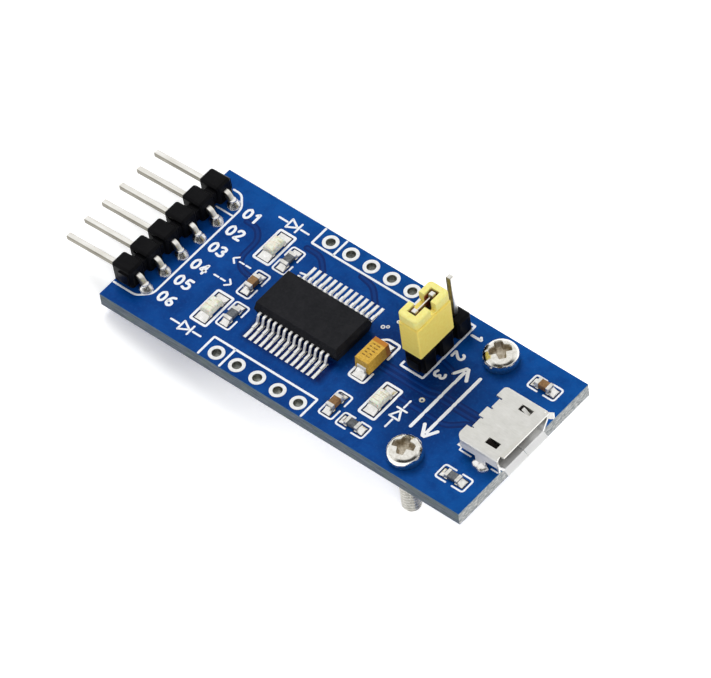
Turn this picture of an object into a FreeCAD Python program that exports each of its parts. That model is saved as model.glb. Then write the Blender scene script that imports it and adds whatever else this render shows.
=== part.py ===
import FreeCAD, Part
import math
import os
from FreeCAD import Vector

# A small circuit module that turns a micro USB port into a serial link.
# Millimetres. X runs along the board from the pin header to the USB mouth, Y across it, Z up.
# The origin is on the board's top face, in the middle of the two rows of plated side holes.

# Board
BOARD_LENGTH = 44.5
BOARD_WIDTH = 18.9
BOARD_THICKNESS = 1.6
HEADER_END = 18.87            # from the origin to the board's header end
PITCH = 2.54                  # between the pins of a header and between the side holes
COPPER = 0.05                 # tinned copper standing on the board's faces

# Plated side holes
SIDE_HOLES = 5                # in each row
SIDE_HOLE_INSET = 1.15        # from the board's long edge to a row
SIDE_HOLE_R = 0.5
SIDE_RING_R = 0.93

# Square pins of both headers
PIN_SIDE = 0.64
PIN_TIP_LENGTH = 0.5
PIN_TIP_SIDE = 0.34
PIN_FIT = 0.01                # between a pin and the plastic that holds it
PIN_DRILL_R = 0.52
PIN_TAIL = 1.4                # of a pin below the board
SOLDER_R = 0.78
SOLDER_RISE = 0.55
SOLDER_NECK_R = 0.5
SOLDER_CLIMB = 0.6            # how far solder climbs a terminal, as a share of its height

# Header blocks, sizes given along the pin, across the row and along the row
BLOCK_LENGTH = 2.5
BLOCK_ACROSS = 2.5
BLOCK_GAP = 0.6               # between two blocks of a strip
BLOCK_BEVEL = 0.22
WEB_START = 0.3               # the web that joins two blocks, from the block's foot
WEB_LENGTH = 1.2
WEB_ACROSS = 1.4
STUB_LENGTH = 0.2             # of the web left where a strip was snapped off

# Right-angle header
HEADER_PINS = 6
HEADER_LEG_INSET = 3.25       # from the board's end to the legs
HEADER_REACH = 6.6            # of the pins beyond the block
HEADER_DROOP = 3.0            # degrees that the pins point down
HEADER_BEND_R = 0.75

# Jumper header and its shunt
JUMPER_PINS = 3
JUMPER_X = 11.43
JUMPER_Y = 4.7
JUMPER_PIN_TOP = 7.95
SHUNT_WIDTH = 2.4
SHUNT_LENGTH = 4.9
SHUNT_HEIGHT = 5.45
SHUNT_WALL = 0.4
SHUNT_SHOULDER = 4.1          # height of the plain box below the two towers
SHUNT_BEVEL = 0.12
SHUNT_FLOOR = 0.45            # of the box's top
GROOVE_HEIGHT = 0.25          # round the foot of the towers
GROOVE_DEPTH = 0.18
TOWER_CORNER_R = 0.45
TOWER_HOLLOW = 1.05           # width of the slot that runs through both towers
TOWER_END_WALL = 0.7
BACK_GAP = 1.4                # between the towers on the clip's back
FRONT_GAP = 0.8               # and on the other side
GAP_WALL = 0.25               # left of the towers' flank beside the slot, at the gaps' ends
CLIP_SHEET = 0.15
CLIP_GAP = 0.02               # between the clip and what it grips or lies in
CLIP_LEAF = 1.1
CLIP_FOOT = 0.3
CLIP_SHELF = 0.9              # from the clip's top down to the shelf that carries its bridge
CLIP_TOP = 0.3                # of the bridge below the towers' tops

# Interface chip, a 28 lead shrink package
CHIP_LENGTH = 10.2
CHIP_WIDTH = 5.3
CHIP_HEIGHT = 1.75
CHIP_LIFT = 0.1               # from the pads to the body
CHIP_Y = -0.1
CHIP_END_DRAFT = 0.15
CHIP_SIDE_DRAFT = 0.3
LEADS_PER_SIDE = 14
LEAD_PITCH = 0.65
LEAD_WIDTH = 0.28
LEAD_THICKNESS = 0.15
LEAD_ROOT = 0.35              # of a lead inside the body
LEAD_SHOULDER = 0.3
LEAD_FOOT = 0.65
LEAD_SPAN = 7.9               # over the toes of both rows
LEAD_BEND_R = 0.18
CHIP_PAD_SPAN = 10.4          # over the pads of both rows
CHIP_PAD_LENGTH = 2.2
CHIP_PAD_WIDTH = 0.36
TOE_SOLDER = 0.45

# Chip resistors and ceramic capacitors
SMALL_LENGTH = 1.6
SMALL_WIDTH = 0.8
RESISTOR_HEIGHT = 0.45
CAPACITOR_HEIGHT = 0.7
TERMINAL_LENGTH = 0.35
TERMINAL_SKIN = 0.03
SMALL_PAD_SPAN = 2.8
SMALL_PAD_WIDTH = 0.95

# Light-emitting diodes
LED_LENGTH = 2.0
LED_WIDTH = 1.25
LED_BASE = 0.35
LED_LENS_HEIGHT = 0.45
LED_LENS_LENGTH = 1.3
LED_LENS_DRAFT = 0.08
LED_TERMINAL = 0.35
LED_PAD_SPAN = 3.6
LED_PAD_WIDTH = 1.35

# Tantalum capacitor
TANTALUM_LENGTH = 3.15
TANTALUM_WIDTH = 1.75
TANTALUM_HEIGHT = 1.55
TANTALUM_DRAFT = 0.07
TANTALUM_TAB = 0.1
TANTALUM_TAB_WIDTH = 1.1
TANTALUM_TAB_HEIGHT = 0.8
TANTALUM_TAB_FOOT = 0.75
TANTALUM_TAB_ROOT = 0.4
TANTALUM_PAD_SPAN = 4.9
TANTALUM_PAD_WIDTH = 1.4

# Places on the board, from the origin
TRANSMIT_LED = (-9.02, 4.65)
RECEIVE_LED = (-9.0, -4.47)
POWER_LED = (11.17, -3.57)
TRANSMIT_RESISTOR = (-6.85, 4.22)
RECEIVE_RESISTOR = (-6.81, -4.02)
POWER_RESISTOR = (10.99, -7.28)
PORT_RESISTOR = (22.58, -6.5)
REGULATOR_CAPACITOR = (-7.7, 0.01)
POWER_CAPACITOR = (7.99, -6.4)
PORT_CAPACITOR = (22.65, 6.7)
TANTALUM = (7.53, -0.3)

# Micro USB socket
PORT_Y = -0.25                # centre line of the socket
PORT_OVERHANG = 0.75          # of the shell beyond the board's end
SHELL_LENGTH = 5.35
SHELL_WIDTH = 7.5
SHELL_FLOOR_WIDTH = 5.7
SHELL_HEIGHT = 2.65
SHELL_WAIST = 1.3             # height at which the side walls start to close in
SHELL_SHEET = 0.25
SHELL_CORNER_R = 0.55
LIP_LENGTH = 0.5
LIP_FLARE = 0.3
LIP_SHEET = 0.2
ROOF_FLARE = 0.12
FLOOR_FLARE = 0.45
FLOOR_STEP = 0.9              # the floor starts this far in from the walls' rear edge
FLOOR_SEAM = 0.08
WINDOW_LENGTH = 1.4
WINDOW_WIDTH = 0.72
WINDOW_SPREAD = 4.8           # between the two windows in the roof
WINDOW_FROM_MOUTH = 1.3
SPRING_WIDTH = 0.4
SPRING_LENGTH = 1.05
SPRING_DROP = 0.5
SPRING_SHARE = 0.8            # of the spring's thickness in the shell's
REAR_STEP = 0.5               # the roof's middle ends short of its corners
REAR_CORNER = 1.6
REAR_TAB_WIDTH = 1.25
REAR_TAB_LENGTH = 0.35
REAR_SLIT = 0.18
REAR_SLIT_DEPTH = 0.25
REAR_ROUND = 0.7              # radius of the shell's rear corners, seen from above
LEG_LENGTH = 1.1              # of an anchoring leg along the shell
LEG_SHEET = 0.22
LEG_DEPTH = 1.5               # below the board's top face
LEG_FROM_MOUTH = 2.65
LEG_TIP = 0.1
SLOT_ROOM = 0.2               # round a leg in its slot
LEG_SOLDER = 0.35             # of solder standing round a leg
LEG_SOLDER_RISE = 0.6
PORT_FIT = 0.02               # between the shell and the moulding inside it
MOULDING_DEPTH = 1.5
MOULDING_SET_IN = 0.1
TONGUE_WIDTH = 3.7
TONGUE_THICKNESS = 0.55
TONGUE_LENGTH = 2.5
TONGUE_HEIGHT = 1.35          # of its underside above the board
CONTACTS = 5
CONTACT_PITCH = 0.65
CONTACT_WIDTH = 0.3
CONTACT_SHEET = 0.12
CONTACT_TAIL = 0.7            # of the contacts behind the shell

# Screws
SCREW_X = 17.25
FRONT_SCREW_INSET = 2.3       # from the board's long edges to the screws
BACK_SCREW_INSET = 2.6
SCREW_R = 1.0
SCREW_HOLE_ROOM = 0.05
SCREW_REACH = 7.5             # below the head
SCREW_TIP = 0.3
HEAD_R = 1.8
HEAD_HEIGHT = 1.85
HEAD_RIM = 0.75
HEAD_SHOULDER = (0.68, 0.78)  # point that the crown's arc passes, in radius and in rise
RECESS_R = 1.05
RECESS_WING = 0.5
RECESS_DEPTH = 0.95

# Worked out from the sizes above
BOARD_X0 = -HEADER_END
BOARD_X1 = BOARD_X0 + BOARD_LENGTH
HALF_WIDTH = BOARD_WIDTH / 2
UNDERSIDE = -BOARD_THICKNESS
MOUTH_X = BOARD_X1 + PORT_OVERHANG
SHELL_X0 = MOUTH_X - SHELL_LENGTH
HEADER_LEG_X = BOARD_X0 + HEADER_LEG_INSET
SIDE_ROWS_APART = BOARD_WIDTH - 2 * SIDE_HOLE_INSET


def row(count, step):
    """Places of a row of equal steps, centred on zero."""
    return [(i - (count - 1) / 2) * step for i in range(count)]


def block(x0, x1, y0, y1, z0, z1):
    """Box between two values on each axis."""
    return Part.makeBox(x1 - x0, y1 - y0, z1 - z0, Vector(x0, y0, z0))


def centred(length, width, z0, z1, x=0.0, y=0.0):
    """Box centred on a place, between two heights."""
    return block(x - length / 2, x + length / 2, y - width / 2, y + width / 2, z0, z1)


def rod(radius, z0, z1, x=0.0, y=0.0):
    """Upright cylinder between two heights."""
    return Part.makeCylinder(radius, z1 - z0, Vector(x, y, z0))


def prism(points, start, depth, plane="xz"):
    """Straight-sided outline in a plane, pushed along the plane's normal axis."""
    if plane == "xz":
        corners = [Vector(a, start, b) for a, b in points]
        push = Vector(0, depth, 0)
    else:
        corners = [Vector(start, a, b) for a, b in points]
        push = Vector(depth, 0, 0)
    return Part.Face(Part.makePolygon(corners + corners[:1])).extrude(push)


def rectangle_wire(length, width, z):
    """Closed rectangle centred on the Z axis, for a loft."""
    corners = [Vector(sx * length / 2, sy * width / 2, z) for sx, sy in ((-1, -1), (1, -1), (1, 1), (-1, 1))]
    return Part.makePolygon(corners + corners[:1])


def tapered(length0, width0, z0, length1, width1, z1):
    """Four-sided taper between two centred rectangles."""
    wires = [rectangle_wire(length0, width0, z0), rectangle_wire(length1, width1, z1)]
    return Part.makeLoft(wires, True, True)


def bevelled(length, width, height, bevel):
    """Box on the plane z = 0, centred, with every edge bevelled."""
    box = centred(length, width, 0, height)
    return box.makeChamfer(bevel, box.Edges)


def bent_strip(path, bend_r, thickness, width):
    """Strip of sheet or wire bent along a path in the XZ plane, its width centred on y = 0."""
    points = [Vector(a, 0, b) for a, b in path]
    ways = [(q - p).normalize() for p, q in zip(points, points[1:])]
    normals = [Vector(-d.z, 0, d.x) for d in ways]
    sides = []
    for side in (1, -1):
        edges = []
        here = points[0] + normals[0] * (side * thickness / 2)
        for i in range(1, len(ways)):
            turn = ways[i - 1].x * ways[i].z - ways[i - 1].z * ways[i].x
            angle = math.asin(max(-1.0, min(1.0, abs(turn))))
            if ways[i - 1].dot(ways[i]) < 0:
                angle = math.pi - angle
            back = bend_r * math.tan(angle / 2)
            centre = points[i] - ways[i - 1] * back + normals[i - 1] * math.copysign(bend_r, turn)
            radius = bend_r - side * math.copysign(thickness / 2, turn)
            out0 = (points[i] - ways[i - 1] * back - centre).normalize()
            out1 = (points[i] + ways[i] * back - centre).normalize()
            middle = (out0 + out1).normalize()
            start, end = centre + out0 * radius, centre + out1 * radius
            edges.append(Part.LineSegment(here, start).toShape())
            edges.append(Part.Arc(start, centre + middle * radius, end).toShape())
            here = end
        last = points[-1] + normals[-1] * (side * thickness / 2)
        edges.append(Part.LineSegment(here, last).toShape())
        sides.append((edges, last))
    left, right = sides
    start_cap = Part.LineSegment(right[0][0].Vertexes[0].Point, left[0][0].Vertexes[0].Point).toShape()
    end_cap = Part.LineSegment(left[1], right[1]).toShape()
    outline = Part.Wire(Part.__sortEdges__(left[0] + [end_cap] + right[0] + [start_cap]))
    strip = Part.Face(outline).extrude(Vector(0, width, 0))
    return moved(strip, 0, -width / 2, 0)


def moved(shape, x, y, z):
    """Copy of a shape, shifted."""
    copy = shape.copy()
    copy.translate(Vector(x, y, z))
    return copy


def turned(shape, degrees, axis=(0, 0, 1), centre=(0, 0, 0)):
    """Copy of a shape, turned about an axis through a point."""
    copy = shape.copy()
    copy.rotate(Vector(*centre), Vector(*axis), degrees)
    return copy


def fused(shapes):
    """One solid out of shapes that share faces or overlap."""
    whole = shapes[0].multiFuse(shapes[1:]) if len(shapes) > 1 else shapes[0]
    return whole.removeSplitter()


def save(name, shape):
    """Write one node, and say what it holds."""
    shape.exportStep("parts/" + name + ".step")
    print(name, len(shape.Solids), "solids", round(shape.Volume, 3), "mm3", shape.isValid())


def side_hole_places():
    return [(x, y) for y in row(2, SIDE_ROWS_APART) for x in row(SIDE_HOLES, PITCH)]


def header_places():
    return [(HEADER_LEG_X, y) for y in row(HEADER_PINS, PITCH)]


def jumper_places():
    return [(JUMPER_X, JUMPER_Y + y) for y in row(JUMPER_PINS, PITCH)]


def screw_places():
    return [(SCREW_X, FRONT_SCREW_INSET - HALF_WIDTH), (SCREW_X, HALF_WIDTH - BACK_SCREW_INSET)]


def leg_places():
    """Centres of the shell's anchoring legs, one in each side wall."""
    offset = SHELL_WIDTH / 2 - LEG_SHEET / 2
    return [(MOUTH_X - LEG_FROM_MOUTH, PORT_Y + side * offset) for side in (-1, 1)]


# Board with its drilled holes and the two slots for the socket's legs
def circuit_board():
    board = block(BOARD_X0, BOARD_X1, -HALF_WIDTH, HALF_WIDTH, UNDERSIDE, 0)
    cuts = [rod(SIDE_HOLE_R, UNDERSIDE, 0, x, y) for x, y in side_hole_places()]
    cuts += [rod(PIN_DRILL_R, UNDERSIDE, 0, x, y) for x, y in header_places() + jumper_places()]
    cuts += [rod(SCREW_R + SCREW_HOLE_ROOM, UNDERSIDE, 0, x, y) for x, y in screw_places()]
    cuts += [leg_slot(x, y) for x, y in leg_places()]
    return board.cut(Part.makeCompound(cuts))


def leg_slot(x, y):
    """Round-ended slot through the board."""
    half = SLOT_ROOM + LEG_SHEET / 2
    straight = LEG_LENGTH / 2 + SLOT_ROOM - half
    ends = [rod(half, UNDERSIDE, 0, x + s * straight, y) for s in (-1, 1)]
    return fused([centred(2 * straight, 2 * half, UNDERSIDE, 0, x, y)] + ends)


# Copper rings of one row of side holes, on both faces of the board
def plated_holes(side):
    y = side * SIDE_ROWS_APART / 2
    rings = []
    for x in row(SIDE_HOLES, PITCH):
        for z in (0, UNDERSIDE - COPPER):
            rings.append(rod(SIDE_RING_R, z, z + COPPER, x, y).cut(rod(SIDE_HOLE_R, z, z + COPPER, x, y)))
    return Part.makeCompound(rings)


# Strip of header blocks, pins along Z, row along Y, its foot on z = 0
def header_strip(count):
    blocks = [moved(bevelled(BLOCK_ACROSS, PITCH - BLOCK_GAP, BLOCK_LENGTH, BLOCK_BEVEL), 0, y, 0)
              for y in row(count, PITCH)]
    reach = (count * PITCH - BLOCK_GAP) / 2 + STUB_LENGTH
    web = block(-WEB_ACROSS / 2, WEB_ACROSS / 2, -reach, reach, WEB_START, WEB_START + WEB_LENGTH)
    hole = PIN_SIDE + 2 * PIN_FIT
    holes = [centred(hole, hole, 0, BLOCK_LENGTH, 0, y) for y in row(count, PITCH)]
    return fused(blocks + [web]).cut(Part.makeCompound(holes))


# Solder round a pin: a cone below the board, the plug in the hole and, for a leg, a cone on top
def solder_joint(x, y, on_top):
    above = [(0, SOLDER_RISE), (SOLDER_NECK_R, SOLDER_RISE), (SOLDER_R, 0), (PIN_DRILL_R, 0)]
    below = [(PIN_DRILL_R, UNDERSIDE), (SOLDER_R, UNDERSIDE), (SOLDER_NECK_R, UNDERSIDE - SOLDER_RISE),
             (0, UNDERSIDE - SOLDER_RISE)]
    top = SOLDER_RISE if on_top else 0
    outline = (above if on_top else [(0, 0), (PIN_DRILL_R, 0)]) + below
    corners = [Vector(r, 0, z) for r, z in outline]
    face = Part.Face(Part.makePolygon(corners + corners[:1]))
    cone = face.revolve(Vector(0, 0, 0), Vector(0, 0, 1), 360)
    pin = centred(PIN_SIDE, PIN_SIDE, UNDERSIDE - SOLDER_RISE, top)
    return moved(cone.cut(pin), x, y, 0)


def solder_joints(places, on_top):
    return Part.makeCompound([solder_joint(x, y, on_top) for x, y in places])


def pin_point():
    """Pointed end of a square pin, standing on z = 0."""
    return tapered(PIN_SIDE, PIN_SIDE, 0, PIN_TIP_SIDE, PIN_TIP_SIDE, PIN_TIP_LENGTH)


# Right-angle header: its strip lies on the board's end, where it droops about its outer bevel
def header_pivot():
    return Vector(BOARD_X0 + BLOCK_BEVEL, 0, 0)


def header_body():
    strip = turned(header_strip(HEADER_PINS), -90, (0, 1, 0))
    strip = moved(strip, BOARD_X0 + BLOCK_LENGTH, 0, BLOCK_ACROSS / 2)
    return turned(strip, -HEADER_DROOP, (0, 1, 0), header_pivot())


def header_pin(y):
    droop = math.radians(HEADER_DROOP)
    inward = Vector(math.cos(droop), 0, math.sin(droop))
    upward = Vector(-math.sin(droop), 0, math.cos(droop))
    face = header_pivot() - inward * BLOCK_BEVEL + upward * (BLOCK_ACROSS / 2)
    tip = face - inward * (HEADER_REACH - PIN_TIP_LENGTH)
    bend = face + inward * ((HEADER_LEG_X - face.x) / inward.x)
    tail = UNDERSIDE - PIN_TAIL + PIN_TIP_LENGTH
    path = [(tip.x, tip.z), (bend.x, bend.z), (HEADER_LEG_X, tail)]
    wire = bent_strip(path, HEADER_BEND_R, PIN_SIDE, PIN_SIDE)
    free_end = moved(turned(pin_point(), -90 - HEADER_DROOP, (0, 1, 0)), tip.x, 0, tip.z)
    board_end = moved(turned(pin_point(), 180, (1, 0, 0)), HEADER_LEG_X, 0, tail)
    return moved(fused([wire, free_end, board_end]), 0, y, 0)


# Jumper header
def jumper_header_body():
    return moved(header_strip(JUMPER_PINS), JUMPER_X, JUMPER_Y, 0)


def jumper_pin(x, y):
    low = UNDERSIDE - PIN_TAIL + PIN_TIP_LENGTH
    high = JUMPER_PIN_TOP - PIN_TIP_LENGTH
    ends = [moved(turned(pin_point(), 180, (1, 0, 0)), 0, 0, low), moved(pin_point(), 0, 0, high)]
    return moved(fused([centred(PIN_SIDE, PIN_SIDE, low, high)] + ends), x, y, 0)


# Shunt over the two front pins: a plain box below, two towers above with a slot through both
def shunt_place(shape):
    return moved(shape, JUMPER_X, JUMPER_Y - PITCH / 2, BLOCK_LENGTH)


def rounded_block(length, width, z0, z1, radius):
    """Block with round upright edges."""
    box = centred(length, width, z0, z1)
    return box.makeFillet(radius, [e for e in box.Edges if e.BoundBox.ZLength > (z1 - z0) / 2])


def shunt_housing():
    neck_top = SHUNT_SHOULDER + GROOVE_HEIGHT
    slot_end = SHUNT_LENGTH - 2 * TOWER_END_WALL
    box = bevelled(SHUNT_WIDTH, SHUNT_LENGTH, SHUNT_SHOULDER, SHUNT_BEVEL)
    neck = centred(SHUNT_WIDTH - 2 * GROOVE_DEPTH, SHUNT_LENGTH - 2 * GROOVE_DEPTH, SHUNT_SHOULDER, neck_top)
    head = rounded_block(SHUNT_WIDTH, SHUNT_LENGTH, neck_top, SHUNT_HEIGHT, TOWER_CORNER_R)
    head = head.makeChamfer(SHUNT_BEVEL, [e for e in head.Edges if e.BoundBox.ZMin > SHUNT_HEIGHT - SHUNT_BEVEL / 2])
    inside = centred(SHUNT_WIDTH - 2 * SHUNT_WALL, SHUNT_LENGTH - 2 * SHUNT_WALL, 0, SHUNT_SHOULDER - SHUNT_FLOOR)
    slot = centred(TOWER_HOLLOW, slot_end, 0, SHUNT_HEIGHT)
    inner = TOWER_HOLLOW / 2 - GAP_WALL
    back_gap = block(-SHUNT_WIDTH, -inner, -BACK_GAP / 2, BACK_GAP / 2, SHUNT_SHOULDER, SHUNT_HEIGHT)
    front_gap = block(inner, SHUNT_WIDTH, -FRONT_GAP / 2, FRONT_GAP / 2, neck_top, SHUNT_HEIGHT)
    return shunt_place(fused([box, neck, head]).cut(Part.makeCompound([inside, slot, back_gap, front_gap])))


def clip_offset():
    """From the pins' axis to the middle of a clip plate."""
    return PIN_SIDE / 2 + CLIP_GAP + CLIP_SHEET / 2


def shunt_clip():
    side = clip_offset()
    shoulder = SHUNT_SHOULDER - SHUNT_FLOOR - CLIP_GAP
    top = SHUNT_HEIGHT - CLIP_TOP
    shelf = top - CLIP_SHELF
    leaf = PITCH + CLIP_LEAF
    between = PITCH - PIN_SIDE - 2 * CLIP_GAP
    back = centred(CLIP_SHEET, leaf, CLIP_FOOT, shoulder, -side)
    neck = centred(CLIP_SHEET, between, shoulder - CLIP_SHEET, shelf, -side)
    front = centred(CLIP_SHEET, leaf, CLIP_FOOT, shoulder, side)
    strap = centred(2 * side, CLIP_LEAF, shoulder - CLIP_SHEET, shoulder)
    shelf_strip = block(-side - CLIP_SHEET / 2, CLIP_SHEET / 2, -between / 2, between / 2, shelf - CLIP_SHEET, shelf)
    bridge = centred(CLIP_SHEET, between, shelf - CLIP_SHEET, top)
    return shunt_place(fused([back, neck, front, strap, shelf_strip, bridge]))


# Interface chip: a moulded body drafted both ways from its parting plane, and bent leads
def chip_parting():
    return COPPER + CHIP_LIFT + CHIP_HEIGHT / 2


def chip_body():
    narrow = (CHIP_LENGTH - 2 * CHIP_END_DRAFT, CHIP_WIDTH - 2 * CHIP_SIDE_DRAFT)
    low, middle = COPPER + CHIP_LIFT, chip_parting()
    lower = tapered(*narrow, low, CHIP_LENGTH, CHIP_WIDTH, middle)
    upper = tapered(CHIP_LENGTH, CHIP_WIDTH, middle, *narrow, low + CHIP_HEIGHT)
    body = moved(fused([lower, upper]), 0, CHIP_Y, 0)
    return body.cut(Part.makeCompound([chip_leads(side) for side in (-1, 1)]))


def chip_leads(side):
    root = (CHIP_WIDTH / 2 - LEAD_ROOT, chip_parting())
    shoulder = (CHIP_WIDTH / 2 + LEAD_SHOULDER, chip_parting())
    heel = (LEAD_SPAN / 2 - LEAD_FOOT, COPPER + LEAD_THICKNESS / 2)
    toe = (LEAD_SPAN / 2, heel[1])
    lead = bent_strip([root, shoulder, heel, toe], LEAD_BEND_R, LEAD_THICKNESS, LEAD_WIDTH)
    lead = turned(lead, side * 90)
    return Part.makeCompound([moved(lead, x, CHIP_Y, 0) for x in row(LEADS_PER_SIDE, LEAD_PITCH)])


def chip_pads():
    toe, outer = LEAD_SPAN / 2, CHIP_PAD_SPAN / 2
    outline = [(outer - CHIP_PAD_LENGTH, 0), (outer, 0), (outer, COPPER), (toe + TOE_SOLDER, COPPER),
               (toe, COPPER + LEAD_THICKNESS), (toe, COPPER), (outer - CHIP_PAD_LENGTH, COPPER)]
    pad = prism(outline, -CHIP_PAD_WIDTH / 2, CHIP_PAD_WIDTH)
    return Part.makeCompound([moved(turned(pad, side * 90), x, CHIP_Y, 0)
                              for side in (-1, 1) for x in row(LEADS_PER_SIDE, LEAD_PITCH)])


# Two-ended parts, drawn along X at the origin and then placed
def placed(shape, place, along_y=True):
    return moved(turned(shape, 90 if along_y else 0), place[0], place[1], 0)


def small_body(height):
    return centred(SMALL_LENGTH - 2 * TERMINAL_SKIN, SMALL_WIDTH, COPPER + TERMINAL_SKIN,
                   COPPER + height - TERMINAL_SKIN)


def small_terminals(height):
    reach = SMALL_LENGTH / 2 - TERMINAL_LENGTH / 2
    width = SMALL_WIDTH + 2 * TERMINAL_SKIN
    caps = [centred(TERMINAL_LENGTH, width, COPPER, COPPER + height, s * reach) for s in (-1, 1)]
    return Part.makeCompound([cap.cut(small_body(height)) for cap in caps])


def end_solder(length, terminal, pad_span, width, rise):
    """Pad and solder fillet at both ends of a part."""
    half, outer = length / 2, pad_span / 2
    outline = [(half - terminal, 0), (outer, 0), (outer, COPPER), (half, COPPER + rise), (half, COPPER),
               (half - terminal, COPPER)]
    pad = prism(outline, -width / 2, width)
    return Part.makeCompound([turned(pad, angle) for angle in (0, 180)])


def small_solder(height):
    return end_solder(SMALL_LENGTH, TERMINAL_LENGTH, SMALL_PAD_SPAN, SMALL_PAD_WIDTH, height * SOLDER_CLIMB)


def led_base():
    return centred(LED_LENGTH - 2 * TERMINAL_SKIN, LED_WIDTH, COPPER + TERMINAL_SKIN, COPPER + LED_BASE)


def led_terminals():
    reach = LED_LENGTH / 2 - LED_TERMINAL / 2
    high = COPPER + LED_BASE + TERMINAL_SKIN
    ends = [centred(LED_TERMINAL, LED_WIDTH, COPPER, high, s * reach) for s in (-1, 1)]
    return Part.makeCompound([end.cut(led_base()) for end in ends])


def led_lens():
    low = COPPER + LED_BASE
    narrow = 2 * LED_LENS_DRAFT
    return tapered(LED_LENS_LENGTH, LED_WIDTH, low, LED_LENS_LENGTH - narrow, LED_WIDTH - narrow,
                   low + LED_LENS_HEIGHT)


def led_solder():
    return end_solder(LED_LENGTH, LED_TERMINAL, LED_PAD_SPAN, LED_PAD_WIDTH, LED_BASE * SOLDER_CLIMB)


# Tantalum capacitor: a drafted block on two tabs that fold under it
def tantalum_tabs():
    half = TANTALUM_LENGTH / 2
    outer = half + TANTALUM_TAB / 2
    foot = COPPER + TANTALUM_TAB / 2
    path = [(half - TANTALUM_TAB_ROOT, TANTALUM_TAB_HEIGHT), (outer, TANTALUM_TAB_HEIGHT), (outer, foot),
            (half - TANTALUM_TAB_FOOT, foot)]
    tab = bent_strip(path, TANTALUM_TAB, TANTALUM_TAB, TANTALUM_TAB_WIDTH)
    return Part.makeCompound([turned(tab, angle) for angle in (0, 180)])


def tantalum_body():
    narrow = 2 * TANTALUM_DRAFT
    block_shape = tapered(TANTALUM_LENGTH, TANTALUM_WIDTH, COPPER + TANTALUM_TAB,
                          TANTALUM_LENGTH - narrow, TANTALUM_WIDTH - narrow, COPPER + TANTALUM_HEIGHT)
    return block_shape.cut(tantalum_tabs())


def tantalum_solder():
    length = TANTALUM_LENGTH + 2 * TANTALUM_TAB
    foot = TANTALUM_TAB_FOOT + TANTALUM_TAB
    return end_solder(length, foot, TANTALUM_PAD_SPAN, TANTALUM_PAD_WIDTH, TANTALUM_TAB_HEIGHT * SOLDER_CLIMB)


# Micro USB socket
def shell_face(inset):
    """Section of the shell's outside, drawn in by an inset."""
    wide, low = SHELL_WIDTH / 2, SHELL_FLOOR_WIDTH / 2
    r = SHELL_CORNER_R
    top = SHELL_HEIGHT
    knee = r * math.sqrt(0.5)
    def at(y, z):
        return Vector(0, PORT_Y + y, z)
    edges = [Part.LineSegment(at(-low, 0), at(-wide, SHELL_WAIST)),
             Part.LineSegment(at(-wide, SHELL_WAIST), at(-wide, top - r)),
             Part.Arc(at(-wide, top - r), at(-wide + r - knee, top - r + knee), at(-wide + r, top)),
             Part.LineSegment(at(-wide + r, top), at(wide - r, top)),
             Part.Arc(at(wide - r, top), at(wide - r + knee, top - r + knee), at(wide, top - r)),
             Part.LineSegment(at(wide, top - r), at(wide, SHELL_WAIST)),
             Part.LineSegment(at(wide, SHELL_WAIST), at(low, 0)),
             Part.LineSegment(at(low, 0), at(-low, 0))]
    wire = Part.Wire([e.toShape() for e in edges])
    return Part.Face(wire.makeOffset2D(-inset, 2) if inset else wire)


def shell_tube():
    start, end = SHELL_X0, MOUTH_X - LIP_LENGTH
    ring = moved(shell_face(0).cut(shell_face(SHELL_SHEET)), start, 0, 0)
    return ring.extrude(Vector(end - start, 0, 0))


def shell_lips():
    """Flared lips round the mouth, with open corners and a seam in the lower one."""
    x0, x1 = MOUTH_X - LIP_LENGTH, MOUTH_X
    wide, t = SHELL_WIDTH / 2, LIP_SHEET
    top = SHELL_HEIGHT
    roof_width = SHELL_WIDTH - 2 * SHELL_CORNER_R
    roof = prism([(x0, top - t), (x0, top), (x1, top + ROOF_FLARE), (x1, top + ROOF_FLARE - t)],
                 PORT_Y - roof_width / 2, roof_width)
    floor = prism([(x0, 0), (x0, t), (x1, t - FLOOR_FLARE), (x1, -FLOOR_FLARE)],
                  PORT_Y - SHELL_FLOOR_WIDTH / 2, SHELL_FLOOR_WIDTH)
    lips = [roof, floor]
    for side in (-1, 1):
        corners = [(x0, wide - t), (x0, wide), (x1, wide + LIP_FLARE), (x1, wide + LIP_FLARE - t)]
        outline = [Vector(x, PORT_Y + side * y, SHELL_WAIST) for x, y in corners]
        lips.append(Part.Face(Part.makePolygon(outline + outline[:1]))
                    .extrude(Vector(0, 0, top - SHELL_CORNER_R - SHELL_WAIST)))
    return lips


def shell_springs():
    """Tongues bent down in the roof's windows."""
    middle = SHELL_HEIGHT - SHELL_SHEET / 2
    start = MOUTH_X - WINDOW_FROM_MOUTH - WINDOW_LENGTH
    path = [(start - SHELL_SHEET, middle), (start + SPRING_LENGTH / 3, middle),
            (start + SPRING_LENGTH, middle - SPRING_DROP)]
    tongue = bent_strip(path, SHELL_SHEET, SHELL_SHEET * SPRING_SHARE, SPRING_WIDTH)
    return [moved(tongue, 0, PORT_Y + y, 0) for y in row(2, WINDOW_SPREAD)]


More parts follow.
